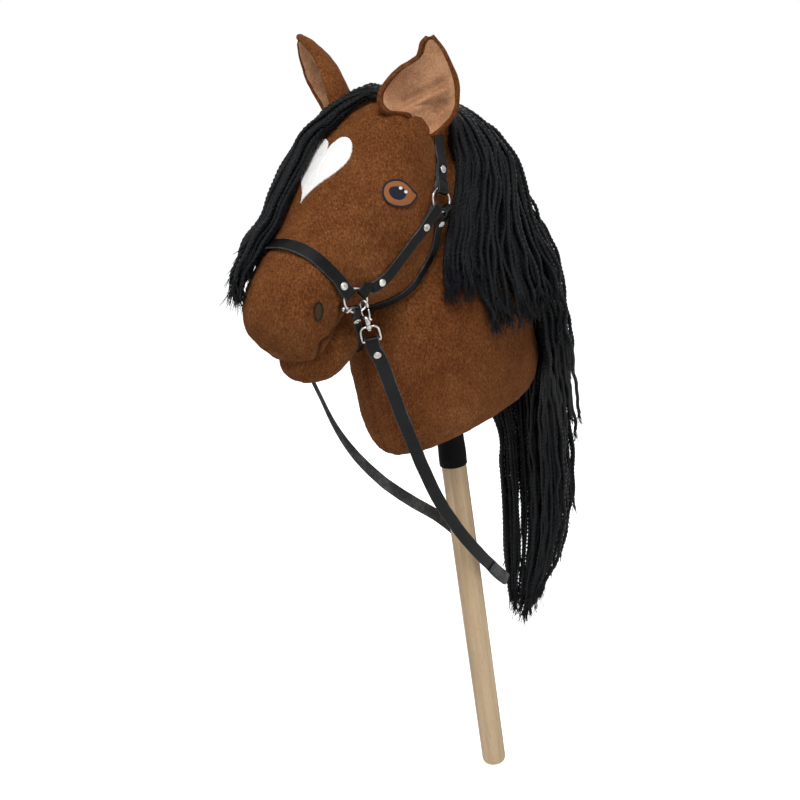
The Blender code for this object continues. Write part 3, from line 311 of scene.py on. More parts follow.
def makePlush():
    k = Finish("brown plush", Roughness=0.95, Sheen_Weight=0.14, Sheen_Roughness=0.45, Sheen_Tint=(0.6, 0.3, 0.13),
               Specular_IOR_Level=0.08)
    p = k.place()
    nap = k.noise(k.stretched(p, (1.0, 1.0, 0.6), (0.5, 0.0, 0.0)), 640, 5, 0.68, 0.2)
    patches = k.noise(p, 75, 3, 0.55, 0.5)
    broad = k.noise(p, 14, 2, 0.5)
    brown = k.ramp(nap * 0.64 + patches * 0.13 + broad * 0.23, [
        (0.36, (0.058, 0.016, 0.004)), (0.46, (0.108, 0.034, 0.0095)), (0.53, (0.150, 0.052, 0.0155)),
        (0.64, (0.255, 0.104, 0.040)),
    ])
    # painted shade: the plush darkens to near black in the seams' grooves, along the mouth line and under the head
    k.set("Base Color", k.mix(k.shade() * 0.8, brown, (0.017, 0.006, 0.002)))
    strands = k.noise(k.stretched(p, (1.0, 1.0, 0.4), (0.6, 0.1, 0.0)), 1500, 3, 0.7)
    k.set("Normal", k.bump(nap * 0.6 + strands * 0.5, 0.0011, 0.8, k.bump(patches, 0.003, 0.3)))
    return k.made


def makeFelt(name, dark, light, size):
    k = Finish(name, Roughness=0.9, Sheen_Weight=0.15, Sheen_Roughness=0.5, Specular_IOR_Level=0.1)
    p = k.place()
    grain = k.noise(p, size, 5, 0.7)
    soft = k.noise(p, 55, 3, 0.6)
    cloth = k.tint(grain * 0.55 + soft * 0.5, 0.4, 0.66, dark, light)
    # painted shade: the felt darkens along the ear's crease
    k.set("Base Color", k.mix(k.shade(), cloth, tuple(0.35 * c for c in dark)))
    k.set("Normal", k.bump(grain, 0.0009, 0.7))
    return k.made


def makeLeather(name, dark, light, rough, grainDepth):
    k = Finish(name, Specular_IOR_Level=0.11)
    p = k.place()
    pores = k.cells(p, 1500)
    creases = k.noise(p, 260, 4, 0.6, 0.5)
    wear = k.noise(p, 38, 3, 0.6)
    k.set("Base Color", k.tint(wear * 0.6 + creases * 0.4, 0.42, 0.68, dark, light))
    k.set("Roughness", k.between(wear + creases * 0.3, 0.4, 0.9, rough - 0.07, rough + 0.12))
    k.set("Normal", k.bump(pores * 0.5 + creases * 0.5, grainDepth, 0.6))
    return k.made


def makeYarn():
    k = Finish("black cotton yarn", Sheen_Weight=0.05, Sheen_Roughness=0.4, Sheen_Tint=(0.5, 0.52, 0.58),
               Specular_IOR_Level=0.12, Roughness=0.36)
    p = k.place()
    fibre = k.noise(k.stretched(p, (1.0, 1.0, 0.22)), 2400, 3, 0.7)
    broad = k.noise(p, 90, 3, 0.6)
    dark, light = (0.0007, 0.0009, 0.0012), (0.0055, 0.0065, 0.0085)
    k.set("Base Color", k.tint(fibre * 0.6 + broad * 0.5, 0.42, 0.75, dark, light))
    k.set("Normal", k.bump(fibre, 0.0006, 0.8))
    return k.made


def makeNickel():
    k = Finish("nickel plate", Metallic=1.0)
    p = k.place()
    haze = k.noise(p, 160, 4, 0.6)
    spots = k.noise(p, 900, 2, 0.5)
    k.set("Base Color", k.tint(haze, 0.35, 0.7, (0.27, 0.255, 0.235), (0.5, 0.485, 0.46)))
    k.set("Roughness", k.between(haze * 0.7 + spots * 0.3, 0.35, 0.65, 0.18, 0.34))
    k.set("Normal", k.bump(spots, 0.00012, 0.35))
    return k.made


def makeBeech():
    k = Finish("beech dowel", Specular_IOR_Level=0.4, Coat_Weight=0.1, Coat_Roughness=0.4)
    p = k.place()
    rings = k.noise(k.stretched(p, (1.0, 1.0, 0.035)), 150, 4, 0.55, 0.3)
    fleck = k.noise(k.stretched(p, (1.0, 1.0, 0.09)), 1100, 2, 0.6)
    cloud = k.noise(k.stretched(p, (1.0, 1.0, 0.25)), 22, 2, 0.5)
    wood = k.ramp(rings * 0.6 + cloud * 0.4, [
        (0.36, (0.37, 0.25, 0.14)), (0.5, (0.49, 0.355, 0.215)), (0.66, (0.58, 0.44, 0.285)),
    ])
    k.set("Base Color", k.mix(k.between(fleck, 0.56, 0.72, 0.0, 0.45), wood, (0.29, 0.185, 0.10)))
    k.set("Roughness", k.between(rings, 0.3, 0.7, 0.5, 0.66))
    k.set("Normal", k.bump(fleck * 0.6 + rings * 0.4, 0.0003, 0.5))
    return k.made


def makeRubber():
    k = Finish("black sleeve", Specular_IOR_Level=0.04)
    p = k.place()
    grain = k.noise(p, 900, 3, 0.6)
    smear = k.noise(p, 60, 3, 0.6)
    k.set("Base Color", k.tint(smear, 0.4, 0.7, (0.0035, 0.0035, 0.004), (0.009, 0.009, 0.0095)))
    k.set("Roughness", k.between(smear, 0.3, 0.7, 0.55, 0.75))
    k.set("Normal", k.bump(grain, 0.0003, 0.4))
    return k.made


def makeThread(name, dark, light, turn):
    # satin stitches: fine waves across the thread's way
    k = Finish(name, Roughness=0.6, Sheen_Weight=0.03, Specular_IOR_Level=0.1)
    p = k.stretched(k.place(), (1, 1, 1), turn)
    rows = k.add("ShaderNodeTexWave", {"wave_type": "BANDS", "bands_direction": "Z"}, {
        "Vector": p, "Scale": 420.0, "Distortion": 1.2, "Detail": 2.0,
    }, "Fac")
    patch = k.noise(k.place(), 300, 3, 0.6)
    k.set("Base Color", k.mix(rows * 0.5 + patch * 0.5, dark, light))
    k.set("Normal", k.bump(rows, 0.0004, 0.6))
    return k.made


plush = makePlush()
peachFelt = makeFelt("peach felt", (0.31, 0.138, 0.066), (0.52, 0.285, 0.155), 700)
whiteFelt = makeFelt("white felt", (0.84, 0.84, 0.84), (0.92, 0.92, 0.92), 800)
leather = makeLeather("black leather", (0.0018, 0.002, 0.0023), (0.006, 0.0065, 0.007), 0.34, 0.0003)
fleshSide = makeLeather("grey flesh side", (0.055, 0.055, 0.056), (0.15, 0.15, 0.152), 0.85, 0.0007)
cutEdge = makeLeather("cut edge", (0.035, 0.038, 0.04), (0.11, 0.115, 0.12), 0.7, 0.0004)
yarn = makeYarn()
nickel = makeNickel()
beech = makeBeech()
rubber = makeRubber()
irisThread = makeThread("iris thread", (0.24, 0.082, 0.028), (0.40, 0.155, 0.06), (0.0, 0.3, 0.0))
inkThread = makeThread("navy thread", (0.006, 0.007, 0.014), (0.022, 0.024, 0.042), (0.5, 0.0, 0.0))
whiteThread = makeThread("white thread", (0.75, 0.75, 0.75), (0.9, 0.9, 0.9), (0.0, 0.0, 0.0))
nostrilThread = makeThread("nostril thread", (0.03, 0.015, 0.006), (0.075, 0.040, 0.017), (0.3, 0.2, 0.0))
umberThread = makeThread("umber thread", (0.006, 0.003, 0.0015), (0.02, 0.010, 0.005), (0.3, 0.2, 0.0))
print("materials made")


# Camera, light and floor

camera = {
    "place": (0.729, -0.740, 0.716),
    "right": (0.704, 0.695, -0.142),
    "back": (0.703, -0.656, 0.276),
    "lens": 49.5,
    "sensor": 36.0,
}
lamps = [  # name, place, size, power, colour; each looks at the head
    ("key", (0.95, -1.0, 2.45), 0.9, 47.0, (1.0, 0.99, 0.97)),
    ("fill", (2.1, -0.35, 1.0), 1.5, 10.0, (0.98, 0.99, 1.0)),
    ("front", (-0.8, -1.9, 1.3), 1.4, 9.0, (1.0, 1.0, 1.0)),
    ("behind", (-0.7, 1.3, 1.9), 1.4, 13.0, (1.0, 1.0, 1.0)),
]
worldLight = 0.17
floorGlow = 0.9
floorReach = 30.0
lookAt = Vector((0.0, -0.02, 0.5))


def makeCamera():
    back = Vector(camera["back"]).normalized()
    right = Vector(camera["right"])
    right = (right - back * right.dot(back)).normalized()
    up = back.cross(right)
    data = bpy.data.cameras.new("camera")
    data.lens = camera["lens"]
    data.sensor_width = camera["sensor"]
    data.sensor_fit = "HORIZONTAL"
    data.clip_start = 0.01
    made = placed("camera", data)
    turn = Matrix((right, up, back)).transposed().to_4x4()
    made.matrix_world = Matrix.Translation(camera["place"]) @ turn
    bpy.context.scene.camera = made


def makeLamps():
    for name, place, size, power, colour in lamps:
        data = bpy.data.lights.new(name, "AREA")
        data.energy = power
        data.size = size
        data.color = colour
        made = placed(name, data)
        made.location = place
        made.rotation_euler = (Vector(place) - lookAt).to_track_quat("Z", "Y").to_euler()


def seenRays(kit):  # 1 for what the camera sees directly, in a mirror or through glass
    path = kit.tree.nodes.new("ShaderNodeLightPath")
    total = Wire(kit, path.outputs["Is Camera Ray"])
    for name in ("Is Glossy Ray", "Is Transmission Ray"):
        total = total.calc("MAXIMUM", Wire(kit, path.outputs[name]))
    return total


def makeWorld():
    world = bpy.data.worlds.new("studio")
    world.use_nodes = True
    bpy.context.scene.world = world
    kit = Kit(world.node_tree)
    kit.tree.nodes.clear()
    white = (1, 1, 1, 1)
    lit, shown = (
        kit.add("ShaderNodeBackground", values={"Color": white, "Strength": power}) for power in (worldLight, 1.0)
    )
    both = kit.add("ShaderNodeMixShader", values={0: seenRays(kit), 1: lit, 2: shown})
    kit.end(both, kit.tree.nodes.new("ShaderNodeOutputWorld"))


def makeFloor():
    k = Finish("floor", Base_Color=(0.8, 0.8, 0.8), Roughness=1.0, Specular_IOR_Level=0.0)
    plain = Wire(k, k.shader.outputs[0])
    glow = k.add("ShaderNodeEmission", values={"Strength": floorGlow})
    both = k.add("ShaderNodeAddShader", values={0: plain, 1: glow})
    pick = k.add("ShaderNodeMixShader", values={0: seenRays(k), 1: plain, 2: both})
    k.end(pick, k.tree.nodes["Material Output"])
    mesh = bpy.data.meshes.new("floor")
    corners = [(x * floorReach, y * floorReach, 0) for x, y in ((-1, -1), (1, -1), (1, 1), (-1, 1))]
    mesh.from_pydata(corners, [], [(0, 1, 2, 3)])
    mesh.materials.append(k.made)
    placed("floor", mesh)


bpy.context.scene.view_settings.view_transform = "Standard"
makeCamera()
makeLamps()
makeWorld()
makeFloor()
print("studio ready")


# Stuffed forms: ovals along an axis. Rows are distance along it, top, bottom and half width, in millimetres

def leaning(degrees):  # the axis and the up direction of a form that points down and forward
    a = math.radians(degrees)
    return (0, -math.cos(a), -math.sin(a)), (0, -math.sin(a), math.cos(a))


class SoftForm:
    def __init__(self, origin, axis, up, rows, fullness):
        self.origin, self.axis, self.up = np.array(origin) * mm, np.array(axis), np.array(up)
        self.rows, self.fullness = np.array(rows, float) * mm, fullness
        self.fine = self.table(8)

    def table(self, steps):
        rows = through(self.rows, steps)
        return rows[:, 0], (rows[:, 1] + rows[:, 2]) / 2, np.abs(rows[:, 1] - rows[:, 2]) / 2, rows[:, 3]

    def oval(self, angle):  # height and width of a unit oval with |height|^n + |width|^n = 1
        power = 2 / self.fullness
        high = np.sign(np.sin(angle)) * np.abs(np.sin(angle)) ** power
        return high, np.sign(np.cos(angle)) * np.abs(np.cos(angle)) ** power

    def local(self, places):  # distance along the axis and height over it
        rel = np.asarray(places) - self.origin
        return rel @ self.axis, rel @ self.up

    def inside(self, places):
        along, centre, half, width = self.fine
        s, h = self.local(places)
        tall = np.abs(h - np.interp(s, along, centre)) / np.interp(s, along, half)
        wide = np.abs(np.asarray(places)[..., 0]) / np.interp(s, along, width)
        return (s > along[0]) & (s < along[-1]) & (tall**self.fullness + wide**self.fullness < 1)

    def place(self, s, angle):
        along, centre, half, width = self.fine
        high, wide = self.oval(angle)
        height = np.interp(s, along, centre) + np.interp(s, along, half) * high
        side = np.interp(s, along, width) * wide
        found = self.origin
        for length, way in ((s, self.axis), (height, self.up), (side, (1.0, 0, 0))):
            found = found + np.multiply.outer(length, way)
        return found

    def normal(self, s, angle):
        along = self.place(s + 2 * mm, angle) - self.place(s - 2 * mm, angle)
        around = self.place(s, angle + 0.05) - self.place(s, angle - 0.05)
        out = unit(np.cross(along, around))
        centre = self.origin + s * self.axis + np.interp(s, self.fine[0], self.fine[1]) * self.up
        return out if out @ (self.place(s, angle) - centre) > 0 else -out

    def grid(self, steps, around):  # rows of points round each section, closer together where the ovals turn sharply
        s, centre, half, width = self.table(steps)
        high, wide = self.oval(np.arange(around) * 2 * math.pi / around)
        height = centre[:, None] + half[:, None] * high
        side = width[:, None] * wide
        middle = self.origin + (s[:, None] * self.axis)[:, None]
        return middle + height[..., None] * self.up + side[..., None] * (1.0, 0, 0)


headShape = {
    "origin": (0, -37, 708),
    "slope": 44,
    "fullness": 2.3,
    "rows": [
        (-16, -16, -28, 6), (-11, 0, -38, 28), (4, 8, -53, 45), (30, 13, -78, 57), (60, 15, -98, 63),
        (90, 15, -113, 64), (116, 15, -123, 60), (136, 14, -125, 54), (156, 14, -102, 49), (176, 14, -71, 46),
        (204, 13, -61, 43), (222, 8, -62, 41), (237, -2, -60, 34), (246, -16, -51, 20), (249, -28, -39, 5),
    ],
    "gusset": [  # its edge on the left: along the axis, across, over the axis
        (-4, 36, 3), (20, 35, 7), (49, 32.4, 9), (69, 28.9, 11), (90, 25.6, 11), (111, 23.5, 12), (135, 22.1, 10),
        (158, 25, 9), (182, 27.7, 8), (207, 28.1, 5), (220, 27.6, 2), (232, 28.5, -7), (241, 26.6, -19),
        (245, 21.4, -34), (245, 20.6, -40),
    ],
    "mouth": [  # places in the frame, on the left
        (41.9, -149.4, 545.2), (33.9, -152.6, 528.4), (36.5, -171.7, 518.9), (25.8, -169.5, 506.3), (13, -166, 498),
    ],
}
neckShape = {
    "origin": (0, 6, 382),
    "lean": 5,
    "fullness": 2.1,
    "rows": [  # distance up it, front, back and half width
        (3, -74, -44, 6), (6, -83, 16, 26), (11, -89, 88, 44), (20, -93, 110, 58), (42, -96, 117, 67),
        (72, -96, 118, 70), (110, -92, 118, 71), (150, -80, 115, 67), (200, -56, 107, 60), (250, -30, 90, 52),
        (285, -14, 66, 42), (303, -4, 50, 28), (311, 8, 38, 13), (313, 16, 30, 5),
    ],
}
jawShape = {
    "origin": (0, -113, 516),
    "slope": 21,
    "fullness": 2.3,
    "rows": [
        (-4, 6, -4, 6), (0, 17, -14, 16), (10, 23, -21, 23), (28, 25, -24, 27), (44, 24, -24, 27), (59, 20, -18, 23),
        (69, 14, -10, 15), (73, 6, 0, 5),
    ],
}
# dark: how far the shade painted along each groove spreads
seam = {"depth": 1.9 * mm, "width": 2.0 * mm, "puff": 0.5 * mm, "reach": 9 * mm, "dark": 2.6 * mm}
nap = {"height": 0.2 * mm, "lump": 0.6 * mm, "lumpSize": 46 * mm, "small": 0.3 * mm, "smallSize": 13 * mm}
seamShares = {"gusset": 0.35, "mouth": 1.2, "middle": 0.55}  # how much of the groove's depth each seam has
seamPaintedShades = {"gusset": 0.16, "mouth": 1.0, "under": 0.4, "middle": 0.3}  # and how strong the shade painted in its groove is
calmSpots = [(88, 90, 42), (91, 17, 24), (212, 5, 15)]  # under the patches: along the head, angle round it, radius

head = SoftForm(headShape["origin"], *leaning(headShape["slope"]), headShape["rows"], headShape["fullness"])
jaw = SoftForm(jawShape["origin"], *leaning(jawShape["slope"]), jawShape["rows"], jawShape["fullness"])
neckTurn = math.radians(neckShape["lean"])
neck = SoftForm(
    neckShape["origin"],
    (0, -math.sin(neckTurn), math.cos(neckTurn)),
    (0, -math.cos(neckTurn), -math.sin(neckTurn)),
    [(s, -front, -back, width) for s, front, back, width in neckShape["rows"]],
    neckShape["fullness"],
)
allForms = [head, neck, jaw]


def skin(starts, ways, forms=None):  # how far it is from each start inside the body to where its ray leaves it
    starts, ways = np.atleast_2d(starts), np.atleast_2d(ways)
    reach = np.linspace(0, 180 * mm, 721)
    places = starts[:, None] + reach[:, None] * ways[:, None]
    covered = np.any([form.inside(places) for form in forms or allForms], axis=0)
    return np.where(covered.all(axis=1), 0.0, reach[np.argmin(covered, axis=1)])


def groove(distance):  # a stitched valley in a soft swell, and how much shade is painted in it
    valley = np.exp(-((distance / seam["width"]) ** 2))
    lift = seam["puff"] * np.exp(-((distance / seam["reach"]) ** 2)) - seam["depth"] * valley
    return lift, np.exp(-((distance / seam["dark"]) ** 2))


def fromLine(places, line):  # distance to a line through the rows or to its mirror image
    left = folded(places)
    nearest = np.full(places.shape[:-1], 1.0)
    for point in through(line, 24):
        nearest = np.minimum(nearest, np.linalg.norm(left - point, axis=-1))
    return nearest


def headSeams(places):
    s, x, h = np.array(headShape["gusset"], float).T * mm
    edge = head.origin + np.outer(s, head.axis) + np.outer(h, head.up) + np.outer(x, (1.0, 0, 0))
    side, sidePaintedShade = groove(fromLine(places, edge))
    mouth, mouthPaintedShade = groove(fromLine(places, np.array(headShape["mouth"]) * mm))
    s, h = head.local(places)
    under = smoothStep(-h / mm, 40, 55) * (1 - smoothStep(s / mm, 215, 225))
    low, lowPaintedShade = groove(np.abs(places[..., 0]))
    # the shade painted in each groove, strongest along the mouth line and also under the head
    paintedShades = (seamPaintedShades["gusset"] * sidePaintedShade, seamPaintedShades["mouth"] * mouthPaintedShade, seamPaintedShades["under"] * lowPaintedShade * under)
    lift = seamShares["gusset"] * side + seamShares["mouth"] * mouth + seamShares["middle"] * low * under
    return lift, np.max(paintedShades, axis=0)


def middleSeam(places):
    # the groove of the middle seam and the shade painted in it
    lift, dark = groove(np.abs(places[..., 0]))
    return seamShares["middle"] * lift, seamPaintedShades["middle"] * dark


def calmed(places):
    calm = 1.0
    for along, angle, radius in calmSpots:
        spot = head.place(along * mm, math.radians(angle))
        away = np.linalg.norm(folded(places) - spot, axis=-1)
        calm = calm * smoothStep(away / mm, radius * 0.8, radius * 1.25)
    return calm


def plushForm(name, form, steps, around, seams, replaced):
    grid = form.grid(steps, around)
    down = np.gradient(grid, axis=0)
    across = np.roll(grid, -1, axis=1) - np.roll(grid, 1, axis=1)
    out = unit(np.cross(down, across))
    middle = grid.mean(axis=(0, 1))
    out = out * np.sign((out * (grid - middle)).sum())
    # dark: shade painted in the seams' grooves, stored on the mesh for the plush material
    lift, dark = seams(grid)
    calm = calmed(grid)
    lift = lift + calm * nap["lump"] * waves(grid, nap["lumpSize"], 9, chance)
    lift = lift + calm * nap["small"] * waves(grid, nap["smallSize"], 14, chance)
    lift = lift + nap["height"] * chance.uniform(-1, 1, grid.shape[:2])
    ends = smoothStep(np.arange(len(grid)), 0, 6) * smoothStep(np.arange(len(grid))[::-1], 0, 6)
    grid = grid + out * (lift * ends[:, None])[..., None]
    made = closedSurface(name, grid, plush, "horse", shade=dark, replaced=replaced, slot="plush")


plushForm(
    "plush_head", head, 16, 352, headSeams,
    ["head_stuffing", "head_cover_left", "head_cover_right", "face_gusset"],
)
plushForm("plush_neck", neck, 17, 330, middleSeam, ["neck_stuffing", "neck_cover_left", "neck_cover_right"])
plushForm("plush_jaw", jaw, 14, 200, middleSeam, ["jaw_stuffing", "jaw_cover"])
print("plush forms sewn")


# Ears: a cupped leaf with a felt lining in front and a rolled plush rim behind

earShape = {
    "felt": 1.4 * mm, "plush": 3.2 * mm, "rim": 1.7 * mm, "rimOver": 1.5 * mm, "rimShare": (0.88, 0.97),
    "lump": 0.25 * mm, "lumpSize": 12 * mm,
}
ears = {  # rows: height, the two edges across, cup depth, how far the near edge rolls forward
    "left": {
        "root": (46, -46, 676), "across": (0.68, 0.72, 0.1), "up": (0.22, -0.01, 0.97), "facing": 1, "lean": 0.45,
        "rows": [
            (-10, 12, 22, 6, 0), (-5, 9, 31, 8, 0), (1, 6, 38, 9, 0), (8, 2, 41.5, 10, 0), (13, -3, 42.5, 10, 2),
            (15.5, -12, 42.7, 10, 5), (18, -20.5, 42.8, 9, 8), (25, -25, 42.6, 8, 8), (34, -24.3, 40.6, 6, 6),
            (41, -19.5, 37.8, 5, 4), (46, -14, 35.3, 4, 3), (50, -8, 33.2, 3, 2), (53, 0, 31.6, 2.5, 1),
            (57, 8, 29.5, 2, 0), (62, 10, 26.4, 1.5, 0), (67, 11.5, 22.3, 1, 0), (70, 16, 19, 0.4, 0),
        ],
        "columns": [  # share of the width, part of the cup, part of the roll
            (0, 0, 1), (0.12, -0.42, 0.75), (0.25, -0.75, 0.4), (0.4, -0.96, 0.1), (0.55, -0.99, 0), (0.7, -0.84, 0),
            (0.85, -0.51, 0), (1, 0, 0),
        ],
        "bare": (3.6 * mm, 0.9 * mm),
        "fold": (18.8, 0.276, -5, 34),  # height of the crease at its start, slope, from, to
    },
    "right": {
        "root": (-41, -52, 698), "across": (-0.93, 0.26, -0.24), "up": (-0.25, -0.02, 0.968), "facing": -1,
        "lean": 0.0,
        "rows": [
            (-10, -30, 8, 12, 15), (0, -30.5, 13, 12, 14), (12, -30, 18, 11, 13), (23, -28.5, 22.5, 10, 11),
            (35, -25, 26.5, 9, 9), (44, -19, 27.5, 8, 7.5), (49, -15, 27.3, 7, 6.5), (55, -9, 26.6, 6, 5.5),
            (62, -2.5, 25, 4, 4.5), (67, 4, 22.6, 2.5, 3.5), (71, 10, 20.5, 1, 2.5), (73, 12.5, 15, 0.3, 2),
        ],
        "columns": [
            (0.02, 0, 1), (-0.03, 0, 0.55), (0, -0.15, 0.15), (0.1, -0.5, 0), (0.3, -0.9, 0), (0.5, -1, 0),
            (0.7, -0.8, 0), (0.85, -0.45, 0), (1, 0, 0),
        ],
        "bare": (1.2 * mm, 1.2 * mm),
    },
}


def earFold(stand, across, height):  # under the crease a flap comes forward, over it the felt sinks, and shade is painted along it
    if "fold" not in stand:
        return across * 0, across * 0
    low, slope, start, end = stand["fold"]
    over = (height - slope * across) / mm - low
    share = smoothStep(across / mm, start - 6, start + 4) * (1 - smoothStep(across / mm, end - 2, end + 6))
    flap = 4 * smoothStep(-over, 0, 3.5) * np.exp(-((over / 13) ** 2))
    lift = np.where(over < 0, flap, -1.2 * np.exp(-(((over - 3.5) / 3) ** 2)))
    return lift * share * mm, 0.4 * share * np.exp(-((over / 1.3) ** 2))


def earLeaf(stand):  # root + height up + reach across + cup and fold to the front + roll forward, leaning up
    height, near, far, cup, roll = (c[:, None] for c in (through(stand["rows"], 5) * mm).T)
    share, cupPart, rollPart = through(stand["columns"], 8).T
    across, up = unit(np.array(stand["across"])), unit(np.array(stand["up"]))
    front = unit(np.cross(across, up)) * stand["facing"]
    reach = near + (far - near) * share
    # dark: shade painted along the felt's crease
    fold, dark = earFold(stand, reach, height)
    places = (
        np.array(stand["root"]) * mm
        + height[..., None] * up
        + reach[..., None] * across
        + (cup * cupPart + fold)[..., None] * front
        + (roll * rollPart)[..., None] * (front + stand["lean"] * up)
    )
    out = unit(np.cross(np.gradient(places, axis=0), np.gradient(places, axis=1)))
    return places, out * np.sign((out @ front).mean()), dark


def narrowed(leaf, bare):  # the same leaf without a strip along each edge
    places, out, dark = leaf
    run = arcLength(places)
    wide = run[:, -1] > sum(bare) + 3 * mm
    found = []
    for place, way, shade, far in zip(places[wide], out[wide], dark[wide], run[wide]):
        t = np.linspace(bare[0], far[-1] - bare[1], len(far))
        found.append(np.stack([np.interp(t, far, v) for v in (*place.T, *way.T, shade)], axis=-1))
    found = np.array(found)
    return found[..., :3], unit(found[..., 3:6]), found[..., 6]


def earSlab(name, leaf, thickness, setBack, rim, finish, node, slot):
    # front face, rounded edge, back face, rounded edge: a closed loop of columns for each row of the leaf
    places, out, dark = leaf
    over, wide = rim
    share = np.abs(np.linspace(-1, 1, places.shape[1]))
    turn = np.linspace(0, math.pi, 9)[1:-1]
    half = thickness / 2
    middle = places - out * (setBack + half)
    front = middle + out * (half + smoothStep(share, *earShape["rimShare"]) * over)[:, None]
    back = middle - out * half

    def edge(column, step):
        c, s = np.cos(turn)[:, None], np.sin(turn)[:, None]
        side = unit(middle[:, column] - middle[:, column + step])[:, None]
        rest = middle[:, column, None] + out[:, column, None] * ((half + over) * c * (c > 0) + half * c * (c < 0))
        return rest + side * (wide * s)

    loop = np.concatenate([front, edge(-1, -1), back[:, ::-1], edge(0, 1)[:, ::-1]], axis=1)
    lumps = waves(loop, earShape["lumpSize"], 10, chance)[..., None] * unit(loop - middle.mean(axis=1)[:, None])
    # painted crease shade on the front face only
    shade = np.concatenate([dark, np.zeros((len(loop), loop.shape[1] - dark.shape[1]))], axis=1)
    loop = loop + lumps * earShape["lump"]
    return closedSurface(name, loop, finish, "horse", shade=shade, replaced=[node], slot=slot)


for word, stand in ears.items():
    leaf = earLeaf(stand)
    earSlab("felt_ear_" + word, narrowed(leaf, stand["bare"]), earShape["felt"], 0.0, (0.0, 0.0), peachFelt,
            "ear_%s_lining" % word, "peach_felt")
    earSlab(
        "plush_ear_" + word, leaf, earShape["plush"], earShape["felt"] * 0.7,
        (earShape["rimOver"], earShape["rim"]), plush, "ear_" + word, "plush",
    )
print("ears cut")


# Patches on the face: each outline is dropped on the head along the patch's own normal

patches = {
    "heart": {"along": 128 - 0.585 * 68, "angle": 90, "length": 68, "width": 56},
    "eye": {
        "along": 90, "angle": 17, "turn": -62,
        "outline": [
            (-22.0, -0.8), (-17.0, 5.8), (-12.8, 8.8), (-3.7, 11.1), (5.5, 11.1), (13.5, 8.8), (17.9, 3.6),
            (18.6, -1.0), (16.4, -6.2), (10.9, -9.8), (3.6, -11.3), (-3.6, -10.6), (-10.9, -7.5), (-16.4, -3.6),
        ],
        "pupil": [
            (-7.0, -1.5), (-5.8, 2.8), (-1.6, 5.2), (3.5, 5.6), (8.6, 4.2), (12.0, 1.0), (12.4, -2.2), (9.5, -4.6),
            (3.0, -5.6), (-3.4, -4.6),
        ],
        "middle": (2.7, 0),  # of the pupil
        "glints": [(0.0, -4.2), (-5.3, -1.7)],
        "glint": (3.4, 2.6),  # length and width
        "narrowing": (0.82, 0.97),  # along and across
    },
    "nostril": {"along": 212, "angle": 5, "length": 14.5, "width": 8, "turn": 30},
}
patchEdge = {"grown": 1.004, "tuck": 0.5 * mm, "under": 1.2 * mm, "inside": 25 * mm}
heartCount = 220


def patchFrame(spec):
    s, angle = spec["along"] * mm, math.radians(spec["angle"])
    out = head.normal(s, angle)
    along = unit(head.axis - out * (out @ head.axis))
    return head.place(s, angle), out, along, np.cross(out, along)


def onHead(frameOf, flat, lift):  # flat places along and across the patch, lifted off the plush
    place, out, along, across = frameOf
    start = place - out * patchEdge["inside"] + flat[..., :1] * along + flat[..., 1:2] * across
    reach = skin(start.reshape(-1, 3), out, [head]).reshape(flat.shape[:-1] + (1,))
    return start + out * (reach + lift)


def turnedFlat(flat, degrees):
    c, s = math.cos(math.radians(degrees)), math.sin(math.radians(degrees))
    return np.stack([flat[..., 0] * c - flat[..., 1] * s, flat[..., 0] * s + flat[..., 1] * c], axis=-1)


def patch(name, spec, outline, lift, finish, word="left", rings=14, crown=0.0, centre=(0, 0), **more):
    # scaled copies of the outline from its middle to its rim, then down under the rim and back to the middle
    frameOf = patchFrame(spec)
    share = np.linspace(0.02, 1, rings)
    centre = np.array(centre)
    flat = centre + share[:, None, None] * (outline - centre)
    top = onHead(frameOf, flat, (lift + crown * (1 - share**4))[:, None, None])
    rim = onHead(frameOf, flat[-1:] * patchEdge["grown"], lift - patchEdge["tuck"])
    low = onHead(frameOf, flat[::-4], -patchEdge["under"])
    closedSurface(name, onSide(word, np.concatenate([top, rim, low])), finish, "horse", **more)


def heartOutline(spec):
    t = np.linspace(0, 2 * math.pi, heartCount, endpoint=False)
    across = np.sin(t) ** 3
    along = (13 * np.cos(t) - 5 * np.cos(2 * t) - 2 * np.cos(3 * t) - np.cos(4 * t)) / 14.5
    return np.stack([-along * spec["length"] / 2, across * spec["width"] / 2], axis=-1) * mm


def roundedOutline(places, turn):  # a smooth closed line through a few places
    ring = np.array(places, float)
    steps = 9
    line = through(np.concatenate([ring[-2:], ring, ring[:3]]), steps) * patches["eye"]["narrowing"]
    return turnedFlat(line[2 * steps:(len(ring) + 2) * steps] * mm, turn)


def ovalOutline(length, width, turn, count=90):
    t = np.linspace(0, 2 * math.pi, count, endpoint=False)
    return turnedFlat(np.stack([length / 2 * np.cos(t), width / 2 * np.sin(t)], axis=-1) * mm, turn)


def loopPiece(name, places, radius, finish, word):  # a closed line of thread
    tubePiece(name, onSide(word, np.concatenate([places, places[:1]])), radius, 8, finish, "horse")


def makeEye(word, spec):
    def part(kind, outline, lift, finish, **more):
        patch(kind + "_" + word, spec, outline, lift * mm, finish, word, **more)

    turn = spec["turn"]
    outline = roundedOutline(spec["outline"], turn)
    part("iris", outline, 0.9, irisThread, crown=0.5 * mm, replaced=["eye_" + word], slot="eye_thread")
    loopPiece("eye_line_" + word, onHead(patchFrame(spec), outline, 1.0 * mm), 0.8 * mm, inkThread, word)
    middle = turnedFlat(np.array(spec["middle"]) * mm, turn)
    part("pupil", roundedOutline(spec["pupil"], turn), 1.7, inkThread, crown=0.3 * mm, centre=middle)
    for k, place in enumerate(spec["glints"]):
        centre = turnedFlat(np.array(place) * mm, turn)
        spot = ovalOutline(*spec["glint"], turn, 30) + centre
        patch("glint_%s_%d" % (word, k), spec, spot, 2.3 * mm, whiteThread, word, 5, centre=centre)


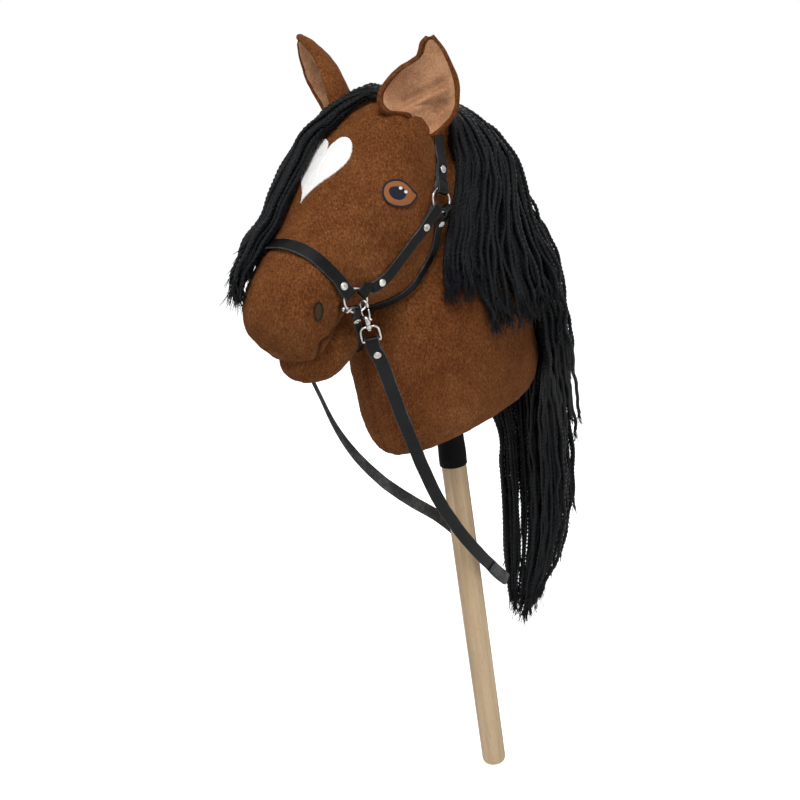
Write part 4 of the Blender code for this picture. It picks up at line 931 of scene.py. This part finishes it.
def makeNostril(word, spec):
    lift = 0.9 * mm
    oval = ovalOutline(spec["length"], spec["width"], spec["turn"])
    patch("nostril_thread_" + word, spec, oval, lift, nostrilThread, word, crown=0.3 * mm,
          replaced=["nostril_" + word], slot="dark_thread")
    loopPiece("nostril_line_" + word, onHead(patchFrame(spec), oval, lift), 0.7 * mm, umberThread, word)


def makeFace():
    spec = patches["heart"]
    fuzz = 1 + chance.uniform(-0.012, 0.012, (heartCount, 1))
    patch("heart_felt", spec, heartOutline(spec) * fuzz, 1.1 * mm, whiteFelt, rings=26,
          replaced=["heart_blaze"], slot="white_felt")
    for word in ("left", "right"):
        makeEye(word, patches["eye"])
        makeNostril(word, patches["nostril"])


makeFace()
print("face patches sewn on")


# Bridle: flat straps over the plush, folded round their rings

strap = {
    "thickness": 1.4 * mm,
    "skinGap": 0.5 * mm,
    "lapGap": 0.4 * mm,
    "loopGap": 0.45 * mm,
    "lapClear": 4 * mm,
    "freeSpan": 11 * mm,
    "spanStep": 7 * mm,
    "lead": 5 * mm,
    "lapStart": 6.5 * mm,
    "worn": 0.12 * mm,
    "wornSize": 26 * mm,
    "ringAcross": 22 * mm,
    "ringWire": 2.0 * mm,
}
ringRadius = (strap["ringAcross"] - strap["ringWire"]) / 2
rings = {
    "bit": {"centre": np.array((51.5, -141, 547.5)) * mm, "normal": np.array((0.9, -0.4, 0.1))},
    "cheek": {"centre": np.array((68.0, -40, 613)) * mm, "normal": np.array((0.98, -0.02, 0.1))},
}


def otherSide(ring):
    return {"centre": mirrored(ring["centre"]), "normal": mirrored(ring["normal"])}


def ringPlace(ring, degrees):  # a place on the wire and the way out to it; 0 points to the tail and 90 up
    normal = unit(ring["normal"])
    back = unit(np.array((0, 1.0, 0)) - normal * normal[1])
    up = np.array((0, 0, 1.0)) - normal * normal[2]
    up = unit(up - back * (up @ back))
    a = math.radians(degrees)
    way = back * math.cos(a) + up * math.sin(a)
    return ring["centre"] + way * ringRadius, way


def fan(centre, second, degrees):
    a = np.radians(np.array(list(degrees), float))
    ways = np.outer(np.cos(a), (1.0, 0, 0)) + np.outer(np.sin(a), unit(np.array(second, float)))
    return np.tile(np.array(centre) * mm, (len(a), 1)), ways


def sideRays(rows):
    rows = np.array(rows, float)
    starts = np.stack([rows[:, 0] * 0, rows[:, 0], rows[:, 1]], axis=-1) * mm
    return starts, np.tile((1.0, 0, 0), (len(rows), 1))


def highest(starts, ways, half, forms=None):
    # where the rays come out, the way across them, and the farthest that the body reaches within half a width
    middles = starts + ways * skin(starts, ways, forms)[:, None]
    padded = np.concatenate([middles[:1], middles, middles[-1:]])
    side = unit(np.cross(padded[2:] - padded[:-2], ways))
    spread = side * np.reshape(half, (-1, 1))
    reach = np.max([skin(starts + k * spread, ways, forms) for k in (-1, -0.5, 0, 0.5, 1)], axis=0)
    return middles, side, reach


def laid(rays, width, near, forms):  # rows of middle and outward way over the plush, lifted where laps lie under
    starts, ways = rays
    middles, _, reach = highest(starts, ways, width / 2, forms)
    gaps = np.array([np.linalg.norm(middles - place, axis=1) for place, _ in near])
    keep = (gaps >= strap["freeSpan"]).all(axis=0)
    lapped = np.any([gap < lap + strap["lapClear"] for gap, (_, lap) in zip(gaps, near)], axis=0)
    lift = strap["skinGap"] + strap["thickness"] / 2 + np.where(lapped, strap["thickness"] + strap["lapGap"], 0)
    return np.concatenate([starts + ways * (reach + lift)[:, None], ways], axis=1)[keep]


def smoothTrack(rows, steps):  # middle, outward and sideways directions along a smooth line through the rows
    fine = through(rows, steps)
    middle, out = fine[:, :3], fine[:, 3:]
    ahead = unit(np.gradient(middle, axis=0))
    side = unit(np.cross(ahead, out))
    return np.stack([middle, np.cross(side, ahead), side])


def turnedBack(track):
    return np.stack([track[0], track[1], -track[2]])[:, ::-1]


def bridged(start, end):
    count = int(np.linalg.norm(end[:3] - start[:3]) / strap["spanStep"])
    share = (np.arange(1, count + 1) / (count + 1))[:, None]
    return start + (end - start) * share


def lapUnder(upper, lap, thickness, clear):  # the folded-back end under the first part of the upper track
    far = np.linalg.norm(upper[0] - upper[0][0], axis=1)
    pick = (far > clear) & (far < lap)
    middle, out, side = upper[:, pick]
    return np.stack([middle - out * (thickness + strap["lapGap"]), -out, side])[:, ::-1]


def aimed(bar, along, row):  # the way from a bar to the row, square to the bar, and the strap's outward face there
    aim = row[:3] - bar
    aim = unit(aim - along * (aim @ along))
    face = np.cross(aim, along)
    return aim, face if face @ row[3:] > 0 else -face


def leaving(bar, shift, aim, face, reach, lead):  # a strap's first two rows off the bar, and its fold round it
    first = bar + shift + face * reach
    rows = np.array([(*first, *face), (*(first + aim * lead), *face)])
    return rows, foldRound(bar, shift, aim, face, reach)


def foldedBack(upper, laps, thickness, clear, folds):  # the whole track: each end goes round its bar and back under
    first, second = (
        np.concatenate([lapUnder(track, lap, thickness, clear), fold], axis=1)
        for track, lap, fold in zip((upper, turnedBack(upper)), laps, folds)
    )
    return np.concatenate([first, upper, turnedBack(second)], axis=1)


def foldRound(bar, shift, aim, face, reach):  # under the bar and round it, for a strap that leaves it on the aim
    side = np.cross(aim, face)
    turn = np.radians(np.arange(-90, 55, 12))
    out = np.outer(np.sin(turn), face) - np.outer(np.cos(turn), aim)
    first = bar + shift + aim * (np.linalg.norm(shift) + reach) - face * reach
    middle = np.concatenate([first[None], bar + shift + out * reach])
    out = np.concatenate([-face[None], out])
    return np.stack([middle, out, np.tile(side, (len(out), 1))])


def stripProfile(width, thickness, bevel):  # a rounded oblong: across, up, and which finish each side has
    corner = np.radians([0, 30, 60, 90])
    a, b = width / 2 - bevel, thickness / 2 - bevel
    points, marks = [], []
    for turn, (x, y) in zip((90, 0, -90, -180), ((a, b), (a, -b), (-a, -b), (-a, b))):
        angle = math.radians(turn) - corner
        points += [(x + bevel * math.cos(t), y + bevel * math.sin(t)) for t in angle]
        marks += [1, 1, 1, {90: 1, 0: 2, -90: 1, -180: 0}[turn]]
    flat = np.array(points)
    tops = [(-a * 0.6, thickness / 2), (0, thickness / 2), (a * 0.6, thickness / 2)]
    lows = [(a * 0.6, -thickness / 2), (0, -thickness / 2), (-a * 0.6, -thickness / 2)]
    flat = np.concatenate([flat[:8], lows, flat[8:], tops])
    marks = marks[:8] + [2] * 3 + marks[8:] + [0] * 3
    return flat, np.array(marks)


def strip(name, track, width, thickness, body, finishes, bevel=0.4 * mm, **more):
    # the profile set across each place of the track: middle + side a + out b
    flat, marks = stripProfile(width, thickness, min(bevel, thickness * 0.35))
    middle, out, side = track
    shake = strap["worn"] * waves(middle, strap["wornSize"], 6, chance)[:, None, None]
    grid = (
        middle[:, None]
        + side[:, None] * flat[None, :, :1]
        + out[:, None] * flat[None, :, 1:]
        + side[:, None] * shake
    )
    points, faces = closedGrids(grid[None])
    groups = np.concatenate([np.tile(marks, len(middle) - 1), np.full(2 * len(flat), 1)])
    return newMesh(name, points, outwards(points, faces), finishes, body, groups=groups, **more)


def makeStrap(node, width, ends, rays, forms):  # each end: ring, angle where the strap meets it, lap length
    near = [(ringPlace(ring, angle)[0], lap) for ring, angle, lap in ends]
    body = laid(rays, width, near, forms)
    inside = ringRadius - strap["ringWire"] / 2
    bow = inside - math.sqrt(inside**2 - (width / 2) ** 2)
    thickness = strap["thickness"]
    starts, folds = [], []
    for (ring, angle, _), row in zip(ends, (body[0], body[-1])):
        place, way = ringPlace(ring, angle)
        aim, face = aimed(place, np.cross(unit(ring["normal"]), way), row)
        tilt = abs(face @ way)
        shift = way * (-bow * (1 - tilt / 2))
        reach = strap["ringWire"] / 2 + strap["loopGap"] + thickness / 2 + bow * tilt * (1 - tilt / 2)
        start, fold = leaving(place, shift, aim, face, reach, strap["lead"])
        starts.append(start)
        folds.append(fold)
    rows = np.concatenate([
        starts[0], bridged(starts[0][-1], body[0]), body, bridged(body[-1], starts[1][-1]), starts[1][::-1],
    ])
    upper = smoothTrack(rows, 5)
    track = foldedBack(upper, [lap for _, lap in near], thickness, bow + strap["lapStart"], folds)
    strip("strap_" + node, track, width, thickness, "horse", [leather, cutEdge, fleshSide],
          replaced=[node], slot="black_leather")
    return upper


rivetProfile = np.array([  # radius and height of a pressed cap: flat middle, rolled rim, on a short shank
    (0.0, 1.5), (1.6, 1.5), (2.3, 1.42), (2.7, 1.3), (3.1, 1.1), (3.38, 0.75), (3.4, 0.4), (3.2, 0.15), (2.6, 0.1),
    (1.05, 0.05), (1.05, -2.9), (0.0, -2.9),
]) * mm


def rivet(node, track, distance, thickness, body):
    run = arcLength(track[0])
    place, out = (np.array([np.interp(distance, run, v) for v in line.T]) for line in track[:2])
    out = unit(out)
    lathe("cap_" + node, rivetProfile, nickel, body, 40, place + out * thickness / 2, out,
          replaced=[node], slot="nickel")


def rivets(stem, track, distance, thickness, body):  # one near either end
    rivet("rivet_%s_left" % stem, track, distance, thickness, body)
    rivet("rivet_%s_right" % stem, turnedBack(track), distance, thickness, body)


def overStrap(node, width, ring, angle, lap, rays, distance, forms=allForms):  # from a ring to its twin, in mm
    ends = [(ring, angle, lap * mm), (otherSide(ring), angle, lap * mm)]
    track = makeStrap(node, width * mm, ends, rays, forms)
    rivets(node.replace("_strap", ""), track, distance * mm, strap["thickness"], "horse")


def cheekStrap(word):
    starts, ways = sideRays([(-116, 553), (-107, 556), (-99, 561), (-90, 568), (-81, 576), (-72, 584), (-64, 591)])
    low, high = (otherSide(rings[kind]) if word == "right" else rings[kind] for kind in ("bit", "cheek"))
    ends = [(low, 31, 32 * mm), (high, 219, 26 * mm)]
    track = makeStrap("cheek_strap_" + word, 9.5 * mm, ends, (onSide(word, starts), onSide(word, ways)), allForms)
    rivet("rivet_cheek_low_" + word, track, 27 * mm, strap["thickness"], "horse")
    rivet("rivet_cheek_high_" + word, turnedBack(track), 21 * mm, strap["thickness"], "horse")


def throatRays():  # down the cheek, then round under the jaw from a hub, and the same on the right
    starts, ways = sideRays([(-38, 590), (-40, 581), (-42, 572)])
    places = np.array([(50, -50, 562), (47, -59, 554), (40, -67, 546), (30, -78, 540), (16, -88, 533), (0, -92, 528)])
    hub = np.array((0, -60, 570.0))
    starts = np.concatenate([starts, np.tile(hub * mm, (len(places), 1))])
    ways = np.concatenate([ways, unit(places - hub)])
    return [np.concatenate([v, mirrored(v)[::-1][1:]]) for v in (starts, ways)]


def makeBridle():
    low, high = rings["bit"], rings["cheek"]
    noseRays = fan((0, -144.6, 551.7), (0, -0.473, 0.881), range(20, 161, 10))
    overStrap("noseband", 11.5, low, 124, 17, noseRays, 9.5)
    overStrap("crown_strap", 11.5, high, 68, 26, fan((0, -38, 613), (0, 0.4, 0.917), range(18, 163, 9)), 20.5)
    cheekStrap("left")
    cheekStrap("right")
    overStrap("throat_strap", 8, high, -65, 22, throatRays(), 16, [head])
    overStrap("chin_strap", 6, low, -98, 15, fan((0, -113, 514), (0, 0, -1), range(30, 151, 12)), 10.5)


makeBridle()
print("bridle laid on")


# Metal: rings, bit, trigger hooks and swivels

def ringLine(centre, normal, radius, count):  # a closed circle about the normal
    normal = unit(normal)
    side = unit(np.cross(normal, (0.2, 1, 0.3)))
    a = np.linspace(0, 2 * math.pi, count)
    return centre + radius * (np.outer(np.cos(a), side) + np.outer(np.sin(a), np.cross(normal, side)))


def makeRings():
    for kind, ring in rings.items():
        for word in ("left", "right"):
            node = "%s_ring_%s" % (kind, word)
            line = ringLine(onSide(word, ring["centre"]), onSide(word, ring["normal"]), ringRadius, 73)
            tubePiece("wire_" + node, line, strap["ringWire"] / 2, 16, nickel, node, replaced=[node], slot="nickel")


bit = {"bar": 4 * mm, "angle": 215, "eyeRadius": 3 * mm, "eyeWire": 2 * mm}
snap = {
    "angle": -54,
    "drop": unit(np.array((0.02, 0.08, -0.99))),
    "across": np.array((0.985, 0.174, 0)),
    "swivelAcross": np.array((0.69, 0.71, 0)),
    "wire": 2.2, "opening": 5.8, "length": 17, "slack": 2.4, "swivelWire": 2.0,
}


def makeBit():
    place, _ = ringPlace(rings["bit"], bit["angle"])
    _, ahead = ringPlace(rings["bit"], bit["angle"] + 90)
    facing = unit(np.array((0, ahead[1], ahead[2])))
    end = place[0] - bit["eyeRadius"]
    x = np.linspace(-end, end, 25)
    bar = np.stack([x, x * 0 + place[1], x * 0 + place[2]], axis=-1)
    batches = [tubes(bar[None], np.full(25, bit["bar"] / 2), 20)]
    for side in (1, -1):
        eye = ringLine(place * (side, 1, 1), facing, bit["eyeRadius"], 41)
        batches.append(tubes(eye[None], np.array(bit["eyeWire"] / 2), 12))
    joinedPiece("bit_bar_and_eyes", batches, nickel, "horse", replaced=["bit_mouthpiece"], slot="nickel")


def hookSpace():  # the hook's root, half its opening, and its two ways across
    wirePlace, _ = ringPlace(rings["bit"], snap["angle"])
    drop = snap["drop"]
    half = (snap["opening"] + snap["wire"]) / 2
    root = wirePlace + drop * (snap["length"] - half - snap["slack"]) * mm
    across, broad = (unit(snap[way] - drop * (snap[way] @ drop)) for way in ("across", "swivelAcross"))
    return root, half, across, broad


def hookWire(name, word, rows, way, sides, body, node):  # rows of (across, height, radius) in the hook's own plane
    rows = through(np.array(rows, float), 4)
    line = hookSpace()[0] + np.outer(rows[:, 0] * mm, way) - np.outer(rows[:, 1] * mm, snap["drop"])
    tubePiece("%s_%s" % (name, word), onSide(word, line), rows[None, :, 2] * mm, sides, nickel, body,
              replaced=["%s_%s" % (node, word)], slot="nickel")


def makeHook(word):
    root, q, across, broad = hookSpace()
    top = snap["length"] - q
    post = [(0, -9.4, 1.5), (0, -8.0, 1.7), (0, -7.7, 0.8), (0, -4.4, 0.8), (0, -4.0, 2.2), (0, -0.6, 2.4)]
    post += [(-1.2, 1.7, 2.1), (-q, 4.5, 1.15), (-q, top, 1.1)]
    turn = np.radians(180 - np.arange(20, 181, 20))
    bend = [(q * math.cos(a), top + q * math.sin(a), 1.1) for a in turn] + [(q, top - 2.0, 0.85)]
    gate = [(5.0, -0.2, 1.0), (3.0, 1.5, 0.9), (q - 0.3, 4.2, 0.8), (q, top - 3.5, 0.8)]
    loop = [(-1.8, -5.9), (-5.0, -6.2), (-7.4, -8.2), (-8.0, -11), (-8.0, -15.4), (-7.8, -17.6), (-7.0, -18.4)]
    loop = [(a, h, 1.0) for a, h in loop + [(-a, h) for a, h in reversed(loop)]]
    hookWire("trigger_hook", word, post + bend, across, 16, "snap_hook_" + word, "snap_hook")
    hookWire("trigger_gate", word, gate, across, 12, "snap_gate_" + word, "snap_gate")
    hookWire("swivel_loop", word, loop, broad, 12, "reins", "snap_swivel")
    collar = [(0.0, -4.6), (1.15, -4.45), (2.3, -4.45), (2.5, -4.8), (2.5, -7.2), (2.3, -7.55), (1.15, -7.55)]
    collar = np.array(collar + [(0.0, -7.4)]) * mm
    lathe("swivel_collar_" + word, collar, nickel, "reins", 32, onSide(word, root), onSide(word, -snap["drop"]))
    return onSide(word, root + snap["drop"] * 18.4 * mm), onSide(word, broad)


# Reins: one strap from hook to hook behind the stick. Rows: the middle and the way its outer face looks

reinShape = {
    "width": 12 * mm,
    "thickness": 2.2 * mm,
    "lap": 20 * mm,
    "rivet": 13 * mm,
    "padFrom": 7,
    "padTo": 9,
    "padThickness": 1.2 * mm,
    "lead": 6 * mm,
    "lapStart": 5 * mm,
    "route": [
        ((55, -126, 490), (0.68, -0.73, 0.0)), ((48, -112, 459), (0.66, -0.74, 0.1)),
        ((42, -97, 422), (0.66, -0.74, 0.15)), ((37, -80, 380), (0.66, -0.72, 0.18)),
        ((33, -62, 338), (0.72, -0.66, 0.2)), ((31, -42, 302), (0.78, -0.6, 0.2)),
        ((30, -20, 268), (0.86, -0.45, 0.15)), ((27, 6, 236), (0.93, -0.2, -0.1)),
        ((19, 31, 211), (0.86, 0.3, -0.4)), ((6, 47, 198), (0.35, 0.7, -0.65)),
        ((-8, 49, 203), (-0.5, 0.7, -0.5)), ((-18, 40, 224), (-0.86, 0.45, -0.2)),
        ((-24, 22, 252), (-0.95, 0.2, 0.0)), ((-28, -4, 283), (-0.97, -0.05, 0.1)),
        ((-32, -34, 311), (-0.95, -0.25, 0.1)), ((-36, -63, 341), (-0.9, -0.4, 0.1)),
        ((-41, -88, 376), (-0.85, -0.5, 0.1)), ((-46, -104, 410), (-0.75, -0.65, 0.05)),
        ((-51, -114, 448), (-0.66, -0.74, 0.0)), ((-55, -126, 490), (-0.68, -0.73, 0.0)),
    ],
}


def makeReins(ends):
    thick = reinShape["thickness"]
    reach = snap["swivelWire"] * mm / 2 + strap["loopGap"] + thick / 2
    rows = np.array([(*np.array(middle) * mm, *unit(np.array(out))) for middle, out in reinShape["route"]])
    starts, folds = [], []
    for (bar, broad), row in zip(ends, (rows[0], rows[-1])):
        start, fold = leaving(bar, np.zeros(3), *aimed(bar, broad, row), reach, reinShape["lead"])
        starts.append(start)
        folds.append(fold)
    steps = 8
    upper = smoothTrack(np.concatenate([starts[0], rows, starts[1][::-1]]), steps)
    track = foldedBack(upper, [reinShape["lap"]] * 2, thick, reinShape["lapStart"], folds)
    made = strip("rein_strap", track, reinShape["width"], thick, "reins", [leather, cutEdge, fleshSide],
                 bevel=0.55 * mm, replaced=["reins"], slot="black_leather")
    rivets("rein", upper, reinShape["rivet"], thick, "reins")
    lift = (thick + reinShape["padThickness"]) / 2 + 0.3 * mm
    pad = upper[:, (2 + reinShape["padFrom"]) * steps:(2 + reinShape["padTo"]) * steps + 1]
    pad = np.stack([pad[0] + pad[1] * lift, pad[1], pad[2]])
    strip("rein_patch", pad, reinShape["width"] - 1 * mm, reinShape["padThickness"], "reins",
          [fleshSide, cutEdge, fleshSide], replaced=["rein_overlap"], slot="grey_leather")


makeRings()
makeBit()
makeReins([makeHook("left"), makeHook("right")])


# Stick and sleeve

stickShape = {
    "radius": 12.5, "length": 600, "rounding": 5.5, "sleeveFrom": 344, "sleeveLength": 110, "gap": 0.3, "wall": 1.0,
    "around": 96,
}


def makeStick():
    r, length, rounding, around = (stickShape[key] for key in ("radius", "length", "rounding", "around"))
    top = [(0.01, length), (r - 2, length), (r - 0.6, length - 0.6), (r, length - 2)]
    shaft = [(r, z) for z in np.linspace(length - 10, 12, 60)]
    turn = np.radians(np.arange(0, 91, 10))
    foot = [(r - rounding * (1 - math.cos(a)), rounding * (1 - math.sin(a))) for a in turn]
    profile = np.array(top + shaft + foot + [(0.01, 0)]) * mm
    lathe("dowel", profile, beech, "horse", around, replaced=["stick"], slot="beech")
    inner = r + stickShape["gap"] * 0.4
    outer = r + stickShape["gap"] + stickShape["wall"]
    low, high = stickShape["sleeveFrom"], stickShape["sleeveFrom"] + stickShape["sleeveLength"]
    rows = [(inner, high), (outer, high)] + [(outer, z) for z in np.linspace(high - 2, low + 3, 40)]
    rows += [(outer + 0.12, low + 2.2), (outer + 0.1, low + 0.5), (outer - 0.3, low), (inner, low)]
    rows = np.array(rows + [(inner, z) for z in np.linspace(low, high, 12)[1:-1]]) * mm
    angle = np.arange(around) * 2 * math.pi / around
    rim = np.stack([np.cos(angle), np.sin(angle), angle * 0], axis=-1)
    grid = rows[:, :1, None] * rim + rows[:, 1:, None] * np.array((0, 0, 1.0))
    sag = 0.25 * mm * waves(grid, 24 * mm, 8, chance)
    grid = grid + rim * (sag * (rows[:, 0] > inner * mm + 0.5 * mm)[:, None])[..., None]
    faces = gridFaces(len(rows), around, True)
    close = gridFaces(2, around, True)  # from the last row back to the first
    close = np.where(close < around, close + (len(rows) - 1) * around, close - around)
    newMesh("sleeve_tube", grid, [np.concatenate([faces, close])[:, ::-1]], rubber, "horse",
            replaced=["stick_sleeve"], slot="black_rubber")


makeStick()
print("stick turned")


# Mane and forelock: strands of three-ply yarn with loose ends

maneShape = {
    "levels": [  # height, how far forward the yarn's front edge lies
        (690, 8), (676, 4), (655, -3), (630, -10), (605, -20), (580, -32), (556, -42), (528, -48), (505, -48),
        (488, -48), (465, -48), (440, -48), (415, -48), (400, -48),
    ],
    "gap": 2.1 * mm,
    "frontDepth": 9 * mm,
    "backDepth": 27 * mm,
    "fullAt": 38,
    "bulk": 14 * mm,  # more yarn behind, below the back of the head
    "sideRoom": (86 * mm, 8 * mm),  # where the yarn starts to be pressed in at the sides, and the room for the rest
    "tail": [  # how far back and up its middle is, half width, half depth
        (129, 350, 41, 33), (127, 300, 40, 35), (122, 250, 38, 36), (108, 205, 32, 30), (90, 170, 22, 20),
        (78, 146, 12, 10),
    ],
}
strand = {
    "radius": 1.85 * mm, "sides": 9, "lobe": 0.26, "pitch": 13 * mm, "step": 2.6 * mm,
    "plies": (3, 13 * mm, 0.22, 0.95 * mm),  # loose ends: how many, length, spread, radius
    "fibres": (8, 15 * mm, 0.3, 0.34 * mm),
    "scatter": 0.45 * mm, "sag": 0.25, "wobble": 0.8 * mm, "wobbleSize": 42 * mm,
}
maneAngles = np.radians(np.linspace(0, 92, 47))


def maneTable():  # inner radius of the yarn at each level and angle: it drapes, then hangs from the widest place
    found, widest = [], np.zeros(len(maneAngles))
    ways = np.stack([np.cos(maneAngles), np.sin(maneAngles), maneAngles * 0], axis=-1)
    for height, front in maneShape["levels"]:
        reach = skin(np.tile(np.array((0, front, height)) * mm, (len(ways), 1)), ways)
        widest = np.maximum(widest, reach + maneShape["gap"])
        found.append(widest)
    return np.array(found)


maneInner = maneTable()


def maneDepth(angle, height):
    share = np.minimum(1, angle / math.radians(maneShape["fullAt"]))
    depth = maneShape["frontDepth"] + (maneShape["backDepth"] - maneShape["frontDepth"]) * share**2 * (3 - 2 * share)
    depth = depth + maneShape["bulk"] * smoothStep(angle, 0.5, 0.95) * (1 - smoothStep(height, 0.53, 0.58))
    rise = np.clip((maneShape["levels"][0][0] * mm + 8 * mm - height) / (60 * mm), 0, 1)
    return depth * (0.35 + 0.65 * np.sqrt(rise))


def crestStart(angles):  # where strands of a side are sewn along the crest, front ones first
    y = (-16 + 46 * angles / (math.pi / 2)) * mm
    starts = np.stack([y * 0, y, y * 0 + 640 * mm], axis=-1)
    top = skin(starts, np.tile((0, 0, 1.0), (len(y), 1)))
    return starts + np.outer(top + 1.2 * mm, (0, 0, 1.0))


def trimmed(paths, lengths, rows):  # each path cut at its own length and given equal steps
    run = arcLength(paths)
    found = []
    for path, far, length in zip(paths, run, lengths):
        t = np.linspace(0, min(length, far[-1]), rows)
        found.append(np.stack([np.interp(t, far, path[:, k]) for k in range(3)], axis=-1))
    return np.array(found)


def squeezed(value, start, room):  # what lies beyond the start is pressed into the room behind it
    return np.where(value > start, start + room * np.tanh((value - start) / room), value)


def lockPaths(count, first, last, end, tail):
    # each strand keeps its share of the lock's angle and its own layer of the yarn, from the crest to its end
    levels = [row for row in maneShape["levels"] if row[0] >= end]
    share = (np.arange(count) + chance.uniform(0.15, 0.85, count)) / count
    chance.shuffle(share)
    layer = chance.uniform(0.05, 1.0, count) ** 0.75
    crest = crestStart(np.radians(first[0] + (last[0] - first[0]) * share))
    rows = []
    for k, (height, front) in enumerate(levels):
        t = k / (len(levels) - 1)
        low, high = first[0] + (first[1] - first[0]) * t, last[0] + (last[1] - last[0]) * t
        angle = np.radians(low + (high - low) * share)
        inner = np.interp(angle, maneAngles, maneInner[k])
        radius = inner + maneDepth(angle, height * mm) * (0.06 + 0.9 * layer)
        drift = 1.3 * mm * chance.normal(size=(count, 2)) * min(1, k / 2)
        place = np.stack(
            [np.cos(angle) * radius, np.sin(angle) * radius + front * mm, angle * 0 + height * mm], axis=-1
        )
        place[:, :2] += drift
        place[:, 0] = squeezed(place[:, 0], *maneShape["sideRoom"])
        rows.append(place)
    lift = (crest + rows[0]) / 2 + np.array((0, 0, 4 * mm)) * layer[:, None]
    rows = [crest, lift] + rows
    if tail:
        for y, z, half, depth in maneShape["tail"]:
            wide = (1 - share) * half * mm
            bulge = 0.3 + 0.7 * np.sqrt(1 - share**2)
            place = np.stack([
                np.abs(wide + 1.2 * mm * chance.normal(size=count)),
                (y + depth * bulge * (2 * layer - 1) * 0.9) * mm,
                np.full(count, z * mm),
            ], axis=-1)
            rows.append(place)
    return through(np.array(rows), 6).transpose(1, 0, 2), layer


def frays(paths, each, length, spread, radius):  # loose plies or fibres that leave the end of each strand
    count = len(paths)
    ends = np.repeat(paths[:, -3], each, axis=0)
    tangent = np.repeat(unit(paths[:, -1] - paths[:, -4]), each, axis=0)
    sway = chance.normal(size=(count * each, 3)) * spread
    size = length * chance.uniform(0.7, 1.0, (count * each, 1))
    start = ends + chance.normal(size=(count * each, 3)) * strand["scatter"]
    t = np.linspace(0, 1, 7)[None, :, None]
    lines = start[:, None] + tangent[:, None] * size[:, None] * t + sway[:, None] * size[:, None] * t**1.6
    lines[..., 2] -= strand["sag"] * size * t[..., 0] ** 2
    radii = radius * (1 - 0.4 * np.linspace(0, 1, 7) ** 2)
    return tubes(lines, np.tile(radii, (count * each, 1)), 4)


def strandPiece(name, paths, word, node):
    run = arcLength(paths)[:, -1]
    rows = int(run.max() / strand["step"])
    even = trimmed(paths, run, rows)
    taper = np.ones(rows)
    taper[-3:] = (0.98, 0.9, 0.7)
    wobble = strand["wobble"] * waves(even, strand["wobbleSize"], 8, chance)[..., None] * (1, 1, 0)
    size = strand["radius"] * chance.uniform(0.88, 1.1, (len(even), 1)) * taper
    spin = chance.uniform(0, 2 * math.pi, len(even))
    twisted = tubes(even + wobble, size, strand["sides"], strand["lobe"], strand["pitch"], spin)
    batches = [twisted, frays(even, *strand["plies"]), frays(even, *strand["fibres"])]
    if word == "right":
        batches = [mirrored(b)[:, :, ::-1] for b in batches]
    joinedPiece(name, batches, yarn, "horse", replaced=[node], slot="black_yarn")


locks = [  # word, strands, first angle and last angle, each at the top and at the end, end height, tail
    ("front", 34, (3, 3), (27, 25), 528, False),
    ("middle", 48, (27, 26), (54, 58), 488, False),
    ("back", 92, (53, 59), (91, 91), 440, True),
]


def makeMane():
    for word in ("left", "right"):
        for part, count, first, last, end, tail in locks:
            paths, layer = lockPaths(count, first, last, end, tail)
            run = arcLength(paths)[:, -1]
            short = chance.uniform(0, 30 * mm, count) * (0.4 + 0.6 * layer) + 4 * mm
            if tail:
                outer = chance.uniform(40, 330, count) * mm
                short = np.where(layer > 0.42, outer, chance.uniform(0, 60, count) * mm)
            paths = trimmed(paths, run - short, 140)
            node = "mane_%s_%s" % (word, part)
            pieces = 3 if tail else 1
            for k in range(pieces):
                name = "yarn_%s_%s" % (word, part) + ("_%d" % (k + 1) if tail else "")
                strandPiece(name, paths[k::pieces], word, node)


forelockShape = {
    "gap": 1.2 * mm,
    "rows": [  # distance down the face, angle round the head, half width, half depth
        (12, 44, 4, 3), (12, 53, 5, 3), (12, 67, 6.3, 4), (18, 78, 7.2, 5), (27, 91, 8.3, 6), (45, 102, 9.5, 7.5),
        (63, 113, 11, 8.5), (96, 116, 12, 9), (120, 116, 13, 9), (153, 117, 14.5, 9), (178, 120, 16, 8.5),
        (204, 125, 16, 7.5), (218, 128, 15, 6),
    ],
    "strands": 38,
    "frontRoom": (203 * mm, 9 * mm),
    "filled": 0.92,  # share of the bunch's half width that the strands reach
    "scatter": 0.9 * mm,
    "uneven": 52 * mm,  # how much shorter the shortest strand is
}


def makeForelock():
    rows = np.array(forelockShape["rows"], float)
    starts = head.origin + np.outer(rows[:, 0] * mm, head.axis) - 20 * mm * head.up
    angle = np.radians(rows[:, 1])
    ways = np.outer(np.cos(angle), (1.0, 0, 0)) + np.outer(np.sin(angle), head.up)
    half, depth = rows[:, 2] * mm, rows[:, 3] * mm
    _, side, reach = highest(starts, ways, half)
    centre = starts + ways * (reach + forelockShape["gap"] + depth)[:, None]
    count = forelockShape["strands"]
    turn = chance.uniform(0, 2 * math.pi, count)
    far = np.sqrt(chance.uniform(0.02, 1, count)) * forelockShape["filled"]
    a, b = np.cos(turn) * far, np.sin(turn) * far
    paths = (
        centre[None]
        + side[None] * (half[None, :] * a[:, None])[..., None]
        + ways[None] * (depth[None, :] * b[:, None])[..., None]
    )
    paths = paths + chance.normal(size=paths.shape) * forelockShape["scatter"]
    paths[..., 1] = -squeezed(-paths[..., 1], *forelockShape["frontRoom"])
    paths = through(paths.transpose(1, 0, 2), 6).transpose(1, 0, 2)
    run = arcLength(paths)[:, -1]
    paths = trimmed(paths, run - chance.uniform(0, 1, count) ** 1.4 * forelockShape["uneven"], 120)
    strandPiece("yarn_forelock", paths, "left", "forelock")


makeMane()
makeForelock()
print("yarn hung")
